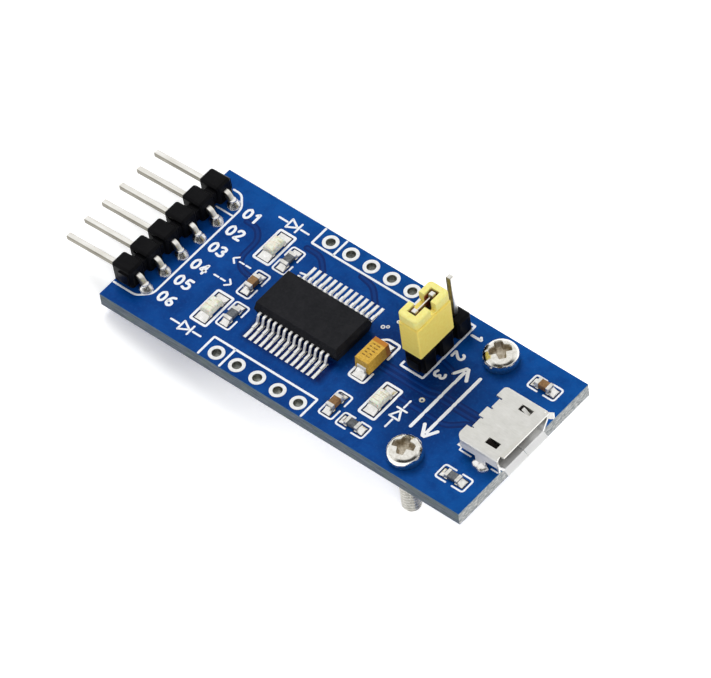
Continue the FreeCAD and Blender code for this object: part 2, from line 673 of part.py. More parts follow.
def shell_cuts():
    above, roof = SHELL_HEIGHT + SHELL_SHEET, SHELL_HEIGHT - SHELL_SHEET * 1.5
    window_x = MOUTH_X - WINDOW_FROM_MOUTH - WINDOW_LENGTH / 2
    cuts = [centred(WINDOW_LENGTH, WINDOW_WIDTH, roof, above, window_x, PORT_Y + y)
            for y in row(2, WINDOW_SPREAD)]
    step_x = SHELL_X0 + REAR_STEP
    notch = SHELL_WIDTH - 2 * REAR_CORNER
    half_tab = REAR_TAB_WIDTH / 2
    cuts.append(block(SHELL_X0, step_x, PORT_Y - notch / 2, PORT_Y - half_tab, roof, above))
    cuts.append(block(SHELL_X0, step_x, PORT_Y + half_tab, PORT_Y + notch / 2, roof, above))
    cuts.append(block(SHELL_X0, step_x - REAR_TAB_LENGTH, PORT_Y - notch / 2, PORT_Y + notch / 2, roof, above))
    for y in (-half_tab - REAR_SLIT / 2, half_tab + REAR_SLIT / 2, -notch / 2 + REAR_SLIT / 2, notch / 2 - REAR_SLIT / 2):
        cuts.append(centred(2 * REAR_SLIT_DEPTH, REAR_SLIT, roof, above, step_x, PORT_Y + y))
    for side in (-1, 1):
        edge = PORT_Y + side * SHELL_WIDTH / 2
        centre = edge - side * REAR_ROUND
        corner = block(SHELL_X0, SHELL_X0 + REAR_ROUND, min(edge, centre), max(edge, centre), SHELL_WAIST, above)
        cuts.append(corner.cut(rod(REAR_ROUND, SHELL_WAIST, above, SHELL_X0 + REAR_ROUND, centre)))
    cuts.append(block(SHELL_X0, SHELL_X0 + FLOOR_STEP, PORT_Y - SHELL_FLOOR_WIDTH / 2,
                      PORT_Y + SHELL_FLOOR_WIDTH / 2, 0, SHELL_SHEET))
    cuts.append(block(SHELL_X0, MOUTH_X, PORT_Y - FLOOR_SEAM / 2, PORT_Y + FLOOR_SEAM / 2, -FLOOR_FLARE, SHELL_SHEET))
    return cuts


def shell_leg(x, y):
    high = SHELL_WAIST + SHELL_SHEET
    leg = centred(LEG_LENGTH, LEG_SHEET, LEG_TIP - LEG_DEPTH, high, x, y)
    tip = moved(turned(tapered(LEG_LENGTH, LEG_SHEET, 0, LEG_LENGTH - LEG_TIP, LEG_SHEET - LEG_TIP / 2, LEG_TIP), 180,
                       (1, 0, 0)), x, y, LEG_TIP - LEG_DEPTH)
    return fused([leg, tip])


def usb_shell():
    body = fused([shell_tube()] + shell_lips()).cut(Part.makeCompound(shell_cuts()))
    return fused([body] + shell_springs() + [shell_leg(x, y) for x, y in leg_places()])


def usb_solder():
    joints = []
    for x, y in leg_places():
        wide = (LEG_LENGTH + 2 * LEG_SOLDER, LEG_SHEET + 2 * LEG_SOLDER)
        close = (LEG_LENGTH + LEG_SOLDER / 2, LEG_SHEET + LEG_SOLDER / 2)
        mound = moved(tapered(*wide, 0, *close, LEG_SOLDER_RISE), x, y, 0)
        joints.append(fused([mound, leg_slot(x, y)]).cut(usb_shell()))
    return Part.makeCompound(joints)


def usb_moulding():
    """Plastic block that closes the shell's rear and carries the tongue."""
    rear = SHELL_X0 + REAR_STEP + MOULDING_SET_IN
    block_shape = moved(shell_face(SHELL_SHEET + PORT_FIT), rear, 0, 0).extrude(Vector(MOULDING_DEPTH, 0, 0))
    front = rear + MOULDING_DEPTH
    z0, z1 = TONGUE_HEIGHT, TONGUE_HEIGHT + TONGUE_THICKNESS
    nose = TONGUE_THICKNESS / 3
    outline = [(front, z0), (front + TONGUE_LENGTH, z0), (front + TONGUE_LENGTH, z1 - nose),
               (front + TONGUE_LENGTH - nose, z1), (front, z1)]
    tongue = prism(outline, PORT_Y - TONGUE_WIDTH / 2, TONGUE_WIDTH)
    return fused([block_shape, tongue]).cut(usb_contacts())


def usb_contacts():
    rear = SHELL_X0 + REAR_STEP + MOULDING_SET_IN
    half = CONTACT_SHEET / 2
    high = TONGUE_HEIGHT + half
    tip = rear + MOULDING_DEPTH + TONGUE_LENGTH - TONGUE_THICKNESS
    down = rear - CONTACT_SHEET * 2
    path = [(tip, high), (down, high), (down, COPPER + half), (down - CONTACT_TAIL, COPPER + half)]
    contact = bent_strip(path, CONTACT_SHEET, CONTACT_SHEET, CONTACT_WIDTH)
    return Part.makeCompound([moved(contact, 0, PORT_Y + y, 0) for y in row(CONTACTS, CONTACT_PITCH)])


def usb_pads():
    tail = SHELL_X0 + REAR_STEP + MOULDING_SET_IN - CONTACT_SHEET * 2 - CONTACT_TAIL
    return [block(tail - CONTACT_SHEET, tail + CONTACT_TAIL, PORT_Y + y - CONTACT_WIDTH / 2,
                  PORT_Y + y + CONTACT_WIDTH / 2, 0, COPPER) for y in row(CONTACTS, CONTACT_PITCH)]


# Pan-head screw with a cross recess, its plain shank without the thread
def screw(x, y, turn):
    crown = (HEAD_R * HEAD_SHOULDER[0], HEAD_RIM + (HEAD_HEIGHT - HEAD_RIM) * HEAD_SHOULDER[1])
    def at(r, z):
        return Vector(r, 0, z)
    low = -SCREW_REACH
    edges = [Part.Arc(at(0, HEAD_HEIGHT), at(*crown), at(HEAD_R, HEAD_RIM)).toShape()]
    corners = [at(HEAD_R, HEAD_RIM), at(HEAD_R, HEAD_RIM * 0.3), at(HEAD_R * 0.96, 0), at(SCREW_R, 0),
               at(SCREW_R, low + SCREW_TIP), at(SCREW_R - SCREW_TIP, low), at(0, low), at(0, HEAD_HEIGHT)]
    edges += [Part.LineSegment(a, b).toShape() for a, b in zip(corners, corners[1:])]
    solid = Part.Face(Part.Wire(edges)).revolve(Vector(0, 0, 0), Vector(0, 0, 1), 360)
    wing = tapered(RECESS_R, RECESS_WING * 0.6, HEAD_HEIGHT - RECESS_DEPTH, 2 * RECESS_R, RECESS_WING,
                   HEAD_HEIGHT)
    cross = fused([turned(wing, turn), turned(wing, turn + 90)])
    return moved(solid.cut(cross), x, y, 0)


def main():
    os.makedirs("parts", exist_ok=True)
    save("circuit_board", circuit_board())
    save("plated_holes_front", plated_holes(-1))
    save("plated_holes_back", plated_holes(1))

    save("header_body", header_body())
    for number, (x, y) in enumerate(header_places(), 1):
        save("header_pin_%d" % number, header_pin(y))
    save("header_solder", solder_joints(header_places(), True))

    save("jumper_header_body", jumper_header_body())
    for number, (x, y) in enumerate(jumper_places(), 1):
        save("jumper_pin_%d" % number, jumper_pin(x, y))
    save("jumper_solder", solder_joints(jumper_places(), False))
    save("shunt_housing", shunt_housing())
    save("shunt_clip", shunt_clip())

    save("interface_chip_body", chip_body())
    save("chip_leads_front", chip_leads(-1))
    save("chip_leads_back", chip_leads(1))
    save("chip_pads", chip_pads())

    small_parts = (("transmit_resistor", TRANSMIT_RESISTOR, RESISTOR_HEIGHT, True),
                   ("receive_resistor", RECEIVE_RESISTOR, RESISTOR_HEIGHT, True),
                   ("power_resistor", POWER_RESISTOR, RESISTOR_HEIGHT, False),
                   ("port_resistor", PORT_RESISTOR, RESISTOR_HEIGHT, False),
                   ("regulator_capacitor", REGULATOR_CAPACITOR, CAPACITOR_HEIGHT, True),
                   ("power_capacitor", POWER_CAPACITOR, CAPACITOR_HEIGHT, True),
                   ("port_capacitor", PORT_CAPACITOR, CAPACITOR_HEIGHT, False))
    solder = []
    for name, place, height, along_y in small_parts:
        save(name + "_body", placed(small_body(height), place, along_y))
        save(name + "_terminals", placed(small_terminals(height), place, along_y))
        solder += placed(small_solder(height), place, along_y).Solids

    for name, place in (("transmit_led", TRANSMIT_LED), ("receive_led", RECEIVE_LED), ("power_led", POWER_LED)):
        save(name + "_base", placed(led_base(), place))
        save(name + "_terminals", placed(led_terminals(), place))
        save(name + "_lens", placed(led_lens(), place))
        solder += placed(led_solder(), place).Solids

    save("tantalum_body", placed(tantalum_body(), TANTALUM))
    save("tantalum_tabs", placed(tantalum_tabs(), TANTALUM))
    solder += placed(tantalum_solder(), TANTALUM).Solids
    save("component_pads", Part.makeCompound(solder + usb_pads()))

    save("usb_shell", usb_shell())
    save("usb_moulding", usb_moulding())
    save("usb_contacts", usb_contacts())
    save("usb_leg_solder", usb_solder())

    for (name, turn), (x, y) in zip((("screw_front", 15), ("screw_back", 40)), screw_places()):
        save(name, screw(x, y, turn))


main()
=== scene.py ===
# %% [markdown]
# # USB to serial adapter module
# A small blue circuit board that turns a micro USB port into a serial link. It carries a right-angle pin
# header, an interface chip, three light-emitting diodes, chip resistors and capacitors, a jumper with a yellow
# shunt, and a micro USB socket between two screws.

# %% Start
import math
import bmesh
import bpy
import numpy as np
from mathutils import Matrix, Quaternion, Vector


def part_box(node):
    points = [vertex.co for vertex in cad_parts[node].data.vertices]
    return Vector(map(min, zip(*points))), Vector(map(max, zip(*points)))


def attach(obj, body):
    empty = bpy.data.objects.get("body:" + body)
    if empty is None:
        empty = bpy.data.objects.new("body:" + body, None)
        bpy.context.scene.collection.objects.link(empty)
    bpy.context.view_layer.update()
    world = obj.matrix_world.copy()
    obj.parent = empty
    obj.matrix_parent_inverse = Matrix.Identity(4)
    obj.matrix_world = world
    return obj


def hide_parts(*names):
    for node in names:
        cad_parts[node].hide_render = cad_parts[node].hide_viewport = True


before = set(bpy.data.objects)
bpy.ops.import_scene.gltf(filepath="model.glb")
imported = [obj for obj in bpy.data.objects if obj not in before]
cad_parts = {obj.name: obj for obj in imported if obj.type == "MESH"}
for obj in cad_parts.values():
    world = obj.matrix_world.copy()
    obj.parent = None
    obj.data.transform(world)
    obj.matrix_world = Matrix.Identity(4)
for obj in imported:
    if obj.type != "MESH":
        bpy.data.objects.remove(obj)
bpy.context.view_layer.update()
MM = 0.001
print("nodes", len(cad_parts))

# %% [markdown]
# The drawing already says where each part sits. Most places are read from its boxes, in millimetres, so that
# the dressed model follows the drawing.

# %% Places from the drawing
def span(node):
    """Lowest and highest corner of a modelled node, to the micrometre."""
    low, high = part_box(node)
    return (np.array(low) / MM).round(3), (np.array(high) / MM).round(3)


def middle(node):
    low, high = span(node)
    return (low + high) / 2


BOARD_LOW, BOARD_HIGH = span("circuit_board")
UNDER = BOARD_LOW[2]
HEADER_LEG_X = middle("header_solder")[0]
JUMPER_X, JUMPER_Y = middle("jumper_pin_2")[:2]
PORT_Y = middle("usb_shell")[1]
PIN_LOW = span("jumper_pin_2")[0][2]
PITCH, LEAD_PITCH = 2.54, 0.65
print("board", BOARD_HIGH - BOARD_LOW)

# %% [markdown]
# A picture spaces its colours for the eye, and the renderer counts light. Colours are written here as a
# picture shows them, so that they can be compared with one, and then turned into light.

# %% Colours
def srgb(red, green, blue):
    """Light of a colour from 0 to 255: ((c + 0.055) / 1.055) ** 2.4 above the toe, c / 12.92 below."""
    values = np.array([red, green, blue]) / 255
    linear = np.where(values > 0.04045, ((values + 0.055) / 1.055) ** 2.4, values / 12.92)
    return (*linear.tolist(), 1.0)


WHITE = (1, 1, 1, 1)
print("middle grey", srgb(128, 128, 128)[0])

# %% [markdown]
# A piece is part of the module once it is linked, has its finish and is tied to the body that it rides on.
# One function does this for every piece, so none is forgotten.

# %% Pieces
def place_piece(name, mesh, finish, replaces=()):
    """Links a mesh as a piece, with its finish, and hides the nodes it stands for."""
    thing = bpy.data.objects.new(name, mesh)
    bpy.context.scene.collection.objects.link(thing)
    mesh.materials.clear()
    mesh.materials.append(finish)
    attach(thing, "root")
    for node in replaces:
        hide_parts(node)
    print(name, len(mesh.polygons), "faces")
    return thing


def finish_node(node, finish):
    """Gives a modelled node its finish and leaves its shape alone."""
    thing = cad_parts[node]
    thing.data.materials.clear()
    thing.data.materials.append(finish)
    print(node, "as drawn")


# %% [markdown]
# A curved surface could be pushed into shape by hand. Here a formula gives the point for each pair of numbers
# on a grid, which keeps every curve exact and easy to change.

# %% Surfaces
def edited(mesh, *steps):
    """Runs steps on a mesh's points, edges and faces, and writes them back."""
    work = bmesh.new()
    work.from_mesh(mesh)
    for step in steps:
        step(work)
    work.to_mesh(mesh)
    work.free()


def smoothed(mesh):
    """Smooth shading, with corners over 40 degrees kept sharp."""
    mesh.polygons.foreach_set("use_smooth", [True] * len(mesh.polygons))
    mesh.set_sharp_from_angle(angle=math.radians(40))


class Surface:
    """Grids of points gathered into one mesh."""

    def __init__(self):
        self.points = []
        self.quads = []
        self.count = 0

    def add(self, x, y, z, flip=False):
        """Adds a grid. Its faces look along row step x column step, or the other way if flipped."""
        grid = np.stack(np.broadcast_arrays(x, y, z), -1)[::-1 if flip else 1]
        rows, columns = grid.shape[:2]
        index = self.count + np.arange(rows * columns).reshape(rows, columns)
        a, b, c, d = index[:-1, :-1], index[1:, :-1], index[1:, 1:], index[:-1, 1:]
        self.quads.append(np.stack([a, b, c, d], -1).reshape(-1, 4))
        self.points.append(grid.reshape(-1, 3))
        self.count += rows * columns

    def place(self, name, finish, slot, replaces=(), outward=False):
        """Makes the mesh, merges points that meet and places it. Outward turns closed shells' faces out."""
        mesh = bpy.data.meshes.new(name)
        mesh.from_pydata(np.concatenate(self.points) * MM, [], np.concatenate(self.quads).tolist())
        edited(mesh, lambda work: bmesh.ops.remove_doubles(work, verts=work.verts, dist=1e-7),
               lambda work: bmesh.ops.dissolve_degenerate(work, dist=1e-8, edges=work.edges))
        smoothed(mesh)
        if outward:
            edited(mesh, lambda work: bmesh.ops.recalc_face_normals(work, faces=work.faces))
        place_piece(name, mesh, finish, replaces)


# %% [markdown]
# A finish is a small network of nodes. These classes let it be written as ordinary sums, so that a mask such
# as one minus the paint reads like arithmetic.

# %% Sums of nodes
class Sum:
    """One output of a shader node, used in sums with numbers and other outputs."""

    def __init__(self, nodes, socket):
        self.nodes = nodes
        self.socket = socket

    def work(self, operation, first, second=0.0, clamp=False):
        settings = {"operation": operation, "use_clamp": clamp}
        return Sum(self.nodes, self.nodes.add("Math", settings, {0: first, 1: second}).outputs[0])

    def __add__(self, other):
        return self.work("ADD", self, other)

    def __sub__(self, other):
        return self.work("SUBTRACT", self, other)

    def __rsub__(self, other):
        return self.work("SUBTRACT", other, self)

    def __mul__(self, other):
        return self.work("MULTIPLY", self, other)

    def __truediv__(self, other):
        return self.work("DIVIDE", self, other)

    def __pow__(self, other):
        return self.work("POWER", self, other)

    def __mod__(self, other):
        return self.work("FLOORED_MODULO", self, other)

    __radd__, __rmul__ = __add__, __mul__

    def above(self, edge, soft):
        """0 below edge - soft, 1 above edge + soft, and a straight ramp between."""
        return self.work("DIVIDE", self - (edge - soft), 2 * soft, True)

    def below(self, edge, soft):
        return 1 - self.above(edge, soft)

    def within(self, centre, half, soft):
        """1 nearer to a centre than a half width, 0 beyond it."""
        return (self - centre).size().below(half, soft)

    def largest(self, other):
        return self.work("MAXIMUM", self, other)

    def size(self):
        return self.work("ABSOLUTE", self)


class Nodes:
    """A node tree."""

    def __init__(self, tree):
        self.tree = tree

    def add(self, kind, settings={}, inputs={}):
        """Adds a node. Its settings are set first, then its sockets get values or links."""
        node = self.tree.nodes.new("ShaderNode" + kind)
        for key, value in settings.items():
            setattr(node, key, value)
        for key, value in inputs.items():
            self.feed(node.inputs[key], value)
        return node

    def feed(self, socket, value):
        """Links an output to a socket, or writes a plain value in it."""
        if isinstance(value, Sum):
            value = value.socket
        if isinstance(value, bpy.types.NodeSocket):
            self.tree.links.new(value, socket)
        else:
            socket.default_value = value

    def split(self, vector):
        """The three parts of a vector, each for use in sums."""
        parts = self.add("SeparateXYZ", {}, {0: vector})
        return [Sum(self, part) for part in parts.outputs]

    def rays(self):
        """What a ray is for: 1 for rays of the eye, of mirrors and of glass."""
        path = self.add("LightPath")
        names = ("Is Camera Ray", "Is Glossy Ray", "Is Transmission Ray")
        return [Sum(self, path.outputs[name]) for name in names]


print("shader sums ready")

# %% [markdown]
# No real surface has one even colour. Each finish mixes two tones by cloudy noise, lets the gloss drift with
# the same grain, and raises that grain a few micrometres, so that light breaks on it.

# %% Finishes
class Finish(Nodes):
    """A procedural material, built on one Principled shader. Its x, y and z are places in millimetres."""

    def __init__(self, name, gloss=0.5, **plain):
        self.material = bpy.data.materials.new(name)
        self.material.use_nodes = True
        super().__init__(self.material.node_tree)
        self.shader = self.tree.nodes["Principled BSDF"]
        for socket, value in plain.items():
            self.shader.inputs[socket.replace("_", " ").title()].default_value = value
        self.shader.inputs["Specular IOR Level"].default_value = gloss
        self.place = self.add("TexCoord").outputs["Object"]
        self.x, self.y, self.z = (part * 1000 for part in self.split(self.place))

    def noise(self, size, detail=3.0, rough=0.55, stretch=None):
        """Cloudy noise from 0 to 1 whose clouds are about a size in millimetres."""
        place = self.place
        if stretch:
            place = self.add("Mapping", {}, {0: place, 3: stretch}).outputs[0]
        inputs = {"Vector": place, "Scale": 1 / (size * MM), "Detail": detail, "Roughness": rough}
        return Sum(self, self.add("TexNoise", {}, inputs).outputs[0])

    def mix(self, factor, first, second):
        """First colour where the factor is 0, second where it is 1. Written colours run from 0 to 255."""
        first, second = (srgb(*c) if isinstance(c, tuple) else c for c in (first, second))
        inputs = {0: factor, 6: first, 7: second}
        return self.add("Mix", {"data_type": "RGBA"}, inputs).outputs[2]

    def end(self, colour, rough, grain, relief, strength=0.5):
        """Feeds the shader with colour, roughness and a grain as tall as a relief in millimetres."""
        self.feed(self.shader.inputs["Base Color"], colour)
        self.feed(self.shader.inputs["Roughness"], rough)
        inputs = {"Strength": strength, "Distance": relief * MM, "Height": grain}
        self.feed(self.shader.inputs["Normal"], self.add("Bump", {}, inputs).outputs[0])
        print("finish", self.material.name)
        return self.material


def metal_finish(name, dark, light, rough, size=0.3, relief=0.01, metallic=1.0):
    """Metal whose tone and gloss drift a little from place to place."""
    f = Finish(name, metallic=metallic)
    drift = f.noise(size * 3)
    grain = f.noise(size, 4, 0.6)
    tone = (drift * 0.6 + grain * 0.4).above(0.5, 0.2)
    return f.end(f.mix(tone, dark, light), rough + 0.12 * (grain - 0.5), grain, relief, 0.6)


def plastic_finish(name, dark, light, rough, size=0.4, relief=0.012, **plain):
    """Moulded plastic with a fine cloudy skin."""
    f = Finish(name, **plain)
    drift = f.noise(size * 5)
    grain = f.noise(size, 4)
    tone = (drift * 0.5 + grain * 0.5).above(0.5, 0.18)
    return f.end(f.mix(tone, dark, light), rough + 0.1 * (grain - 0.5), grain, relief)


# %% [markdown]
# The board is woven glass in resin, with blue lacquer on its two faces. A picture could be laid on it, but
# masks of height and place stay sharp at any distance: lacquer at the height of a face, bare glass on the cut
# edges. Painted shade darkens the lacquer round the shunt's foot, between chip and tantalum and under the
# chip's front leads, a painted reflection lightens it towards the far edges, and the end face at +X is
# painted lighter, as lit.

# %% Board
def board_finish():
    """Blue lacquer on the two faces, cut fibreglass elsewhere, with painted shade, reflection and light."""
    f = Finish("solder mask and fibreglass", gloss=0.05)
    top = f.z.above(-0.02, 0.004)
    lacquer = top + f.z.below(UNDER + 0.02, 0.004)
    cloud = f.noise(5)
    grain = f.noise(0.3, 4)
    blue = f.mix(cloud.above(0.5, 0.16), (6, 58, 128), (14, 74, 150))
    # Painted shade: cloudy darker lacquer round the shunt's foot and between chip and tantalum, where they
    # shade the board.
    painted_shade_patches = f.x.within(13.6, 4.6, 1.4) * f.y.within(-0.6, 4.4, 1.6) * cloud.above(0.36, 0.12)
    painted_shade_patches = painted_shade_patches.largest(f.x.within(7.2, 2.4, 1.3) * f.y.within(0.6, 3.8, 1.5))
    # Painted shadow under and between the chip's front leads.
    painted_lead_shadow = f.x.within(0.3, 4.9, 0.4) * f.y.within(-3.9, 1.6, 0.35)
    blue = f.mix(top * (painted_shade_patches * 0.62).largest(painted_lead_shadow), blue, (5, 24, 76))
    # Painted reflection: the lacquer turns lighter towards the far edges, as if catching the bright room at a
    # low angle.
    far = f.y.above(7.2, 2.2).largest(f.x.above(21.0, 4.0)) * 0.4
    blue = f.mix(far, blue, (10, 92, 170))
    blue = f.mix(f.noise(1.1, 4).above(0.58, 0.12) * 0.35, blue, (5, 44, 108))
    blue = f.mix(top * grain.above(0.62, 0.1) * 0.3, blue, (26, 92, 166))
    layers = f.noise(0.45, 5, 0.65, (0.3, 0.3, 6))
    blotch = f.noise(1.6, 3, 0.6, (1, 1, 3))
    glass = f.mix(layers.above(0.5, 0.2), (62, 74, 88), (134, 142, 151))
    glass = f.mix(blotch.above(0.56, 0.1) * 0.4, glass, (112, 128, 112))
    fibres = f.noise(0.16, 4, 0.7, (1, 0.35, 1)).above(0.5, 0.1)
    # Painted light: the end face at +X gets lighter fibres than the other cut edges, as lit.
    lit_sawn_end = f.x.above(BOARD_HIGH[0] - 0.06, 0.03)
    glass = f.mix(lit_sawn_end, glass, f.mix(fibres, (140, 146, 148), (206, 206, 204)))
    glass = f.mix(f.z.above(-0.14, 0.03) * 0.6, glass, (60, 116, 150))
    rough = lacquer * (0.2 + 0.1 * grain) + (1 - lacquer) * 0.62
    relief = grain * lacquer + layers * (1 - lacquer) * 2
    return f.end(f.mix(lacquer, glass, blue), rough, relief, 0.012)


finish_node("circuit_board", board_finish())

# %% [markdown]
# Moulded and folded parts are never knife sharp. A bevel of a few hundredths of a millimetre makes their
# edges catch the light. It works on a merged copy, so the drawing is left alone.

# %% Rounded edges
def softened(node, finish, width, segments=2):
    """Copy of a modelled node whose sharp edges are rounded by a width in millimetres."""
    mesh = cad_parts[node].data.copy()
    flat = math.radians(1)
    edited(mesh, lambda work: bmesh.ops.remove_doubles(work, verts=work.verts, dist=2e-7),
           lambda work: bmesh.ops.dissolve_limit(work, angle_limit=flat, verts=work.verts, edges=work.edges))
    smoothed(mesh)
    bevel = place_piece(node + "_soft", mesh, finish, [node]).modifiers.new("rounded edges", "BEVEL")
    bevel.width = width * MM
    bevel.segments = segments
    bevel.limit_method = "ANGLE"
    bevel.angle_limit = math.radians(30)
    bevel.harden_normals = True


# %% [markdown]
# The chip is cast in black compound, dull because it is full of ground glass. Its tinned leads look almost
# white under a soft light, so their metal is mixed with some plain grey.

# %% Chip
lead_tin = metal_finish("tinned leads", (226, 225, 221), (254, 253, 250), 0.36, 0.25, 0.03, 0.8)
for side in ("front", "back"):
    softened("chip_leads_" + side, lead_tin, 0.02)
compound = plastic_finish("moulding compound", (22, 23, 26), (37, 37, 40), 0.5, 0.25, 0.02, gloss=0.08)
softened("interface_chip_body", compound, 0.05, 3)

# %% [markdown]
# Both pin strips are black glass-filled nylon, darker than the chip and with a faint sheen.

# %% Header strips
nylon = plastic_finish("header plastic", (2, 2, 4), (13, 13, 15), 0.36, gloss=0.07)
for strip in ("header_body", "jumper_header_body"):
    softened(strip, nylon, 0.06, 3)

# %% [markdown]
# The shunt is thin yellow plastic round a spring clip. Light enters its walls and comes out near by, which
# subsurface scattering gives. Deep in the slot a mask paints red-brown shade, and above 7 mm the yellow is
# painted paler, as the top is lit more than the sides.

# %% Shunt
def shunt_finish():
    """Pale yellow plastic, painted paler on top as lit, with painted red-brown shade deep in the slot."""
    f = Finish("shunt plastic", gloss=0.35, subsurface_weight=0.12, subsurface_scale=0.0005)
    grain = f.noise(0.3, 4)
    tone = grain.above(0.5, 0.25)
    # Painted light: above 7 mm the yellow turns paler, as the top catches more light than the sides.
    low = f.mix(tone, (250, 222, 104), (255, 234, 124))
    high = f.mix(tone, (246, 232, 128), (253, 246, 160))
    skin = f.mix(f.z.above(7.0, 0.5), low, high)
    # Painted shade: deep in the slot the plastic turns dark red-brown, as little light reaches there.
    inside = f.x.within(JUMPER_X, 0.56, 0.04) * f.y.within(middle("shunt_clip")[1], 1.78, 0.04)
    inside = inside * f.z.below(7.65, 0.15)
    colour = f.mix(inside, skin, f.mix(grain, (122, 22, 6), (168, 52, 18)))
    return f.end(colour, 0.42 + 0.1 * grain, grain, 0.012)


softened("shunt_housing", shunt_finish(), 0.06, 3)
softened("shunt_clip", metal_finish("clip metal", (210, 204, 190), (246, 243, 236), 0.22), 0.03)

# %% [markdown]
# A chip resistor is a ceramic slip with a dark glaze on top, a chip capacitor a solid brown ceramic, and both
# have tinned ends. Their finishes differ and their rounding hardly does, so one loop dresses both kinds.

# %% Resistors and capacitors
terminal_tin = metal_finish("terminal plating", (198, 196, 190), (248, 246, 241), 0.34, 0.25, 0.03, 0.9)
glaze = plastic_finish("resistor glaze", (46, 48, 52), (120, 124, 128), 0.25, 0.25, gloss=0.4)
ceramic = plastic_finish("ceramic", (104, 70, 38), (164, 128, 84), 0.4, 0.2, gloss=0.3)
RESISTORS = ["transmit_resistor", "receive_resistor", "power_resistor", "port_resistor"]
CAPACITORS = ["regulator_capacitor", "power_capacitor", "port_capacitor"]
DIODES = ["transmit_led", "receive_led", "power_led"]
KINDS = ((RESISTORS, glaze, "resistor_black", 0.03), (CAPACITORS, ceramic, "ceramic", 0.04))
for names, body, slot, width in KINDS:
    for name in names:
        softened(name + "_body", body, width)
        softened(name + "_terminals", terminal_tin, width)

# %% [markdown]
# A diode of this size is a pale resin base with tinned ends. Its milky lens is made later on.

# %% Diode bases
pale_resin = plastic_finish("diode base", (206, 202, 184), (240, 237, 224), 0.5, 0.2)
diode_tin = metal_finish("diode terminals", (206, 202, 190), (246, 243, 234), 0.4, 0.25, 0.03)
for name in DIODES:
    softened(name + "_base", pale_resin, 0.03)
    softened(name + "_terminals", diode_tin, 0.04)

# %% [markdown]
# The tantalum capacitor is mustard resin with a bar at its positive end and rows of plain dashes. The
# remainder of a division repeats a ramp, which makes the rows.

# %% Tantalum capacitor
def tantalum_finish():
    """Mustard resin with an orange bar and rows of dark dashes, and painted shade on its sides towards the
    bar.
    """
    f = Finish("tantalum moulding", gloss=0.3)
    centre = middle("tantalum_body")
    along, across = f.y - centre[1], f.x - centre[0]
    top = f.z.above(1.54, 0.02)
    grain = f.noise(0.2, 4)
    resin = f.mix(grain.above(0.5, 0.2), (194, 148, 44), (226, 186, 82))
    resin = f.mix(along.above(1.0, 0.04), resin, (184, 118, 40))
    # Painted shade: the sides darken towards the bar end.
    resin = f.mix((1 - top) * along.above(0.2, 1.3) * 0.7, resin, (96, 56, 16))
    rows = 1 - (((along + 5.11) * 2.6) % 1).above(0.36, 0.06)
    columns = across.within(-0.34, 0.2, 0.03) + across.within(0.2, 0.22, 0.03)
    field = top * along.within(0, 0.86, 0.03) * f.noise(0.16, 2).above(0.42, 0.06)
    colour = f.mix(rows * columns * field * 0.9, resin, (92, 54, 14))
    return f.end(colour, 0.4 + 0.12 * grain, grain, 0.012)


softened("tantalum_body", tantalum_finish(), 0.06, 3)
softened("tantalum_tabs", terminal_tin, 0.03)

# %% [markdown]
# The shell is pale plated steel, its brushed grain made by stretched noise. Side walls and lower lip are
# painted near white and made less metallic, a painted reflection of the bright table, and the two windows are
# painted dark, as painted shade over the springs behind them.

# %% Micro USB socket
def shell_finish():
    """Brushed steel, painted dark as shade in the windows, painted pale as the table's reflection on side
    walls and lip.
    """
    f = Finish("shell plating")
    drift = f.noise(1.0)
    grain = f.noise(0.3, 4, 0.65, (0.45, 2.4, 1))
    steel = f.mix((drift * 0.5 + grain * 0.5).above(0.5, 0.2), (208, 207, 201), (228, 227, 223))
    # Painted shade: the near window is dark, and the far one in its back part, where the springs lie in shade.
    window = f.x.above(23.7, 0.02) * f.x.below(25.06, 0.02) * f.z.above(0.4, 0.05) * f.z.below(2.645, 0.002)
    near = window * f.y.within(PORT_Y - 2.4, 0.34, 0.02)
    far = window * f.y.within(PORT_Y + 2.4, 0.34, 0.02) * f.x.below(24.0, 0.04)
    steel = f.mix(near.largest(far), steel, (30, 26, 25))
    # Painted reflection: side walls and lower lip turn near white and less metallic, standing in for the
    # bright table they mirror.
    side = (f.y - PORT_Y).size().above(3.6, 0.08) * f.z.below(2.2, 0.3)
    lip = f.x.above(25.0, 0.9) * f.z.below(0.9, 0.3)
    steel = f.mix(side * 0.85, steel, (252, 250, 245))
    f.feed(f.shader.inputs["Metallic"], 1 - 0.75 * lip.largest(side))
    return f.end(f.mix(lip, steel, (250, 250, 249)), 0.4 + 0.12 * (grain - 0.5), grain, 0.014, 0.6)


softened("usb_shell", shell_finish(), 0.06, 3)
socket_black = plastic_finish("socket plastic", (10, 10, 11), (24, 24, 25), 0.5, gloss=0.2)
softened("usb_moulding", socket_black, 0.03)
gold = metal_finish("contact plating", (206, 164, 88), (238, 204, 132), 0.25)
finish_node("usb_contacts", gold)

# %% [markdown]
# The pins are drawn square wire with blunt ends, and those of the header bend down as they leave the plastic.
# A rounded square is carried along the line of each pin, a little smaller at its two ends.

# %% Pins
def rounded_path(corners, radius=0.0, closed=False, steps=6):
    """Path through corners. Each is rounded by (1 - t)^2 start + 2 t (1 - t) corner + t^2 end."""
    corners = [np.array(c, float) for c in corners]
    count = len(corners)
    points = []
    for i in range(count):
        here = corners[i]
        if radius == 0 or (not closed and i in (0, count - 1)):
            points.append(here)
            continue
        before, after = corners[i - 1] - here, corners[(i + 1) % count] - here
        lengths = np.linalg.norm(before), np.linalg.norm(after)
        reach = min(radius, lengths[0] / 2, lengths[1] / 2)
        start, end = here + before / lengths[0] * reach, here + after / lengths[1] * reach
        t = np.linspace(0, 1, steps + 1)[:, None]
        points.extend((1 - t) ** 2 * start + 2 * t * (1 - t) * here + t ** 2 * end)
    if closed:
        points.append(points[0])
    return np.array(points)


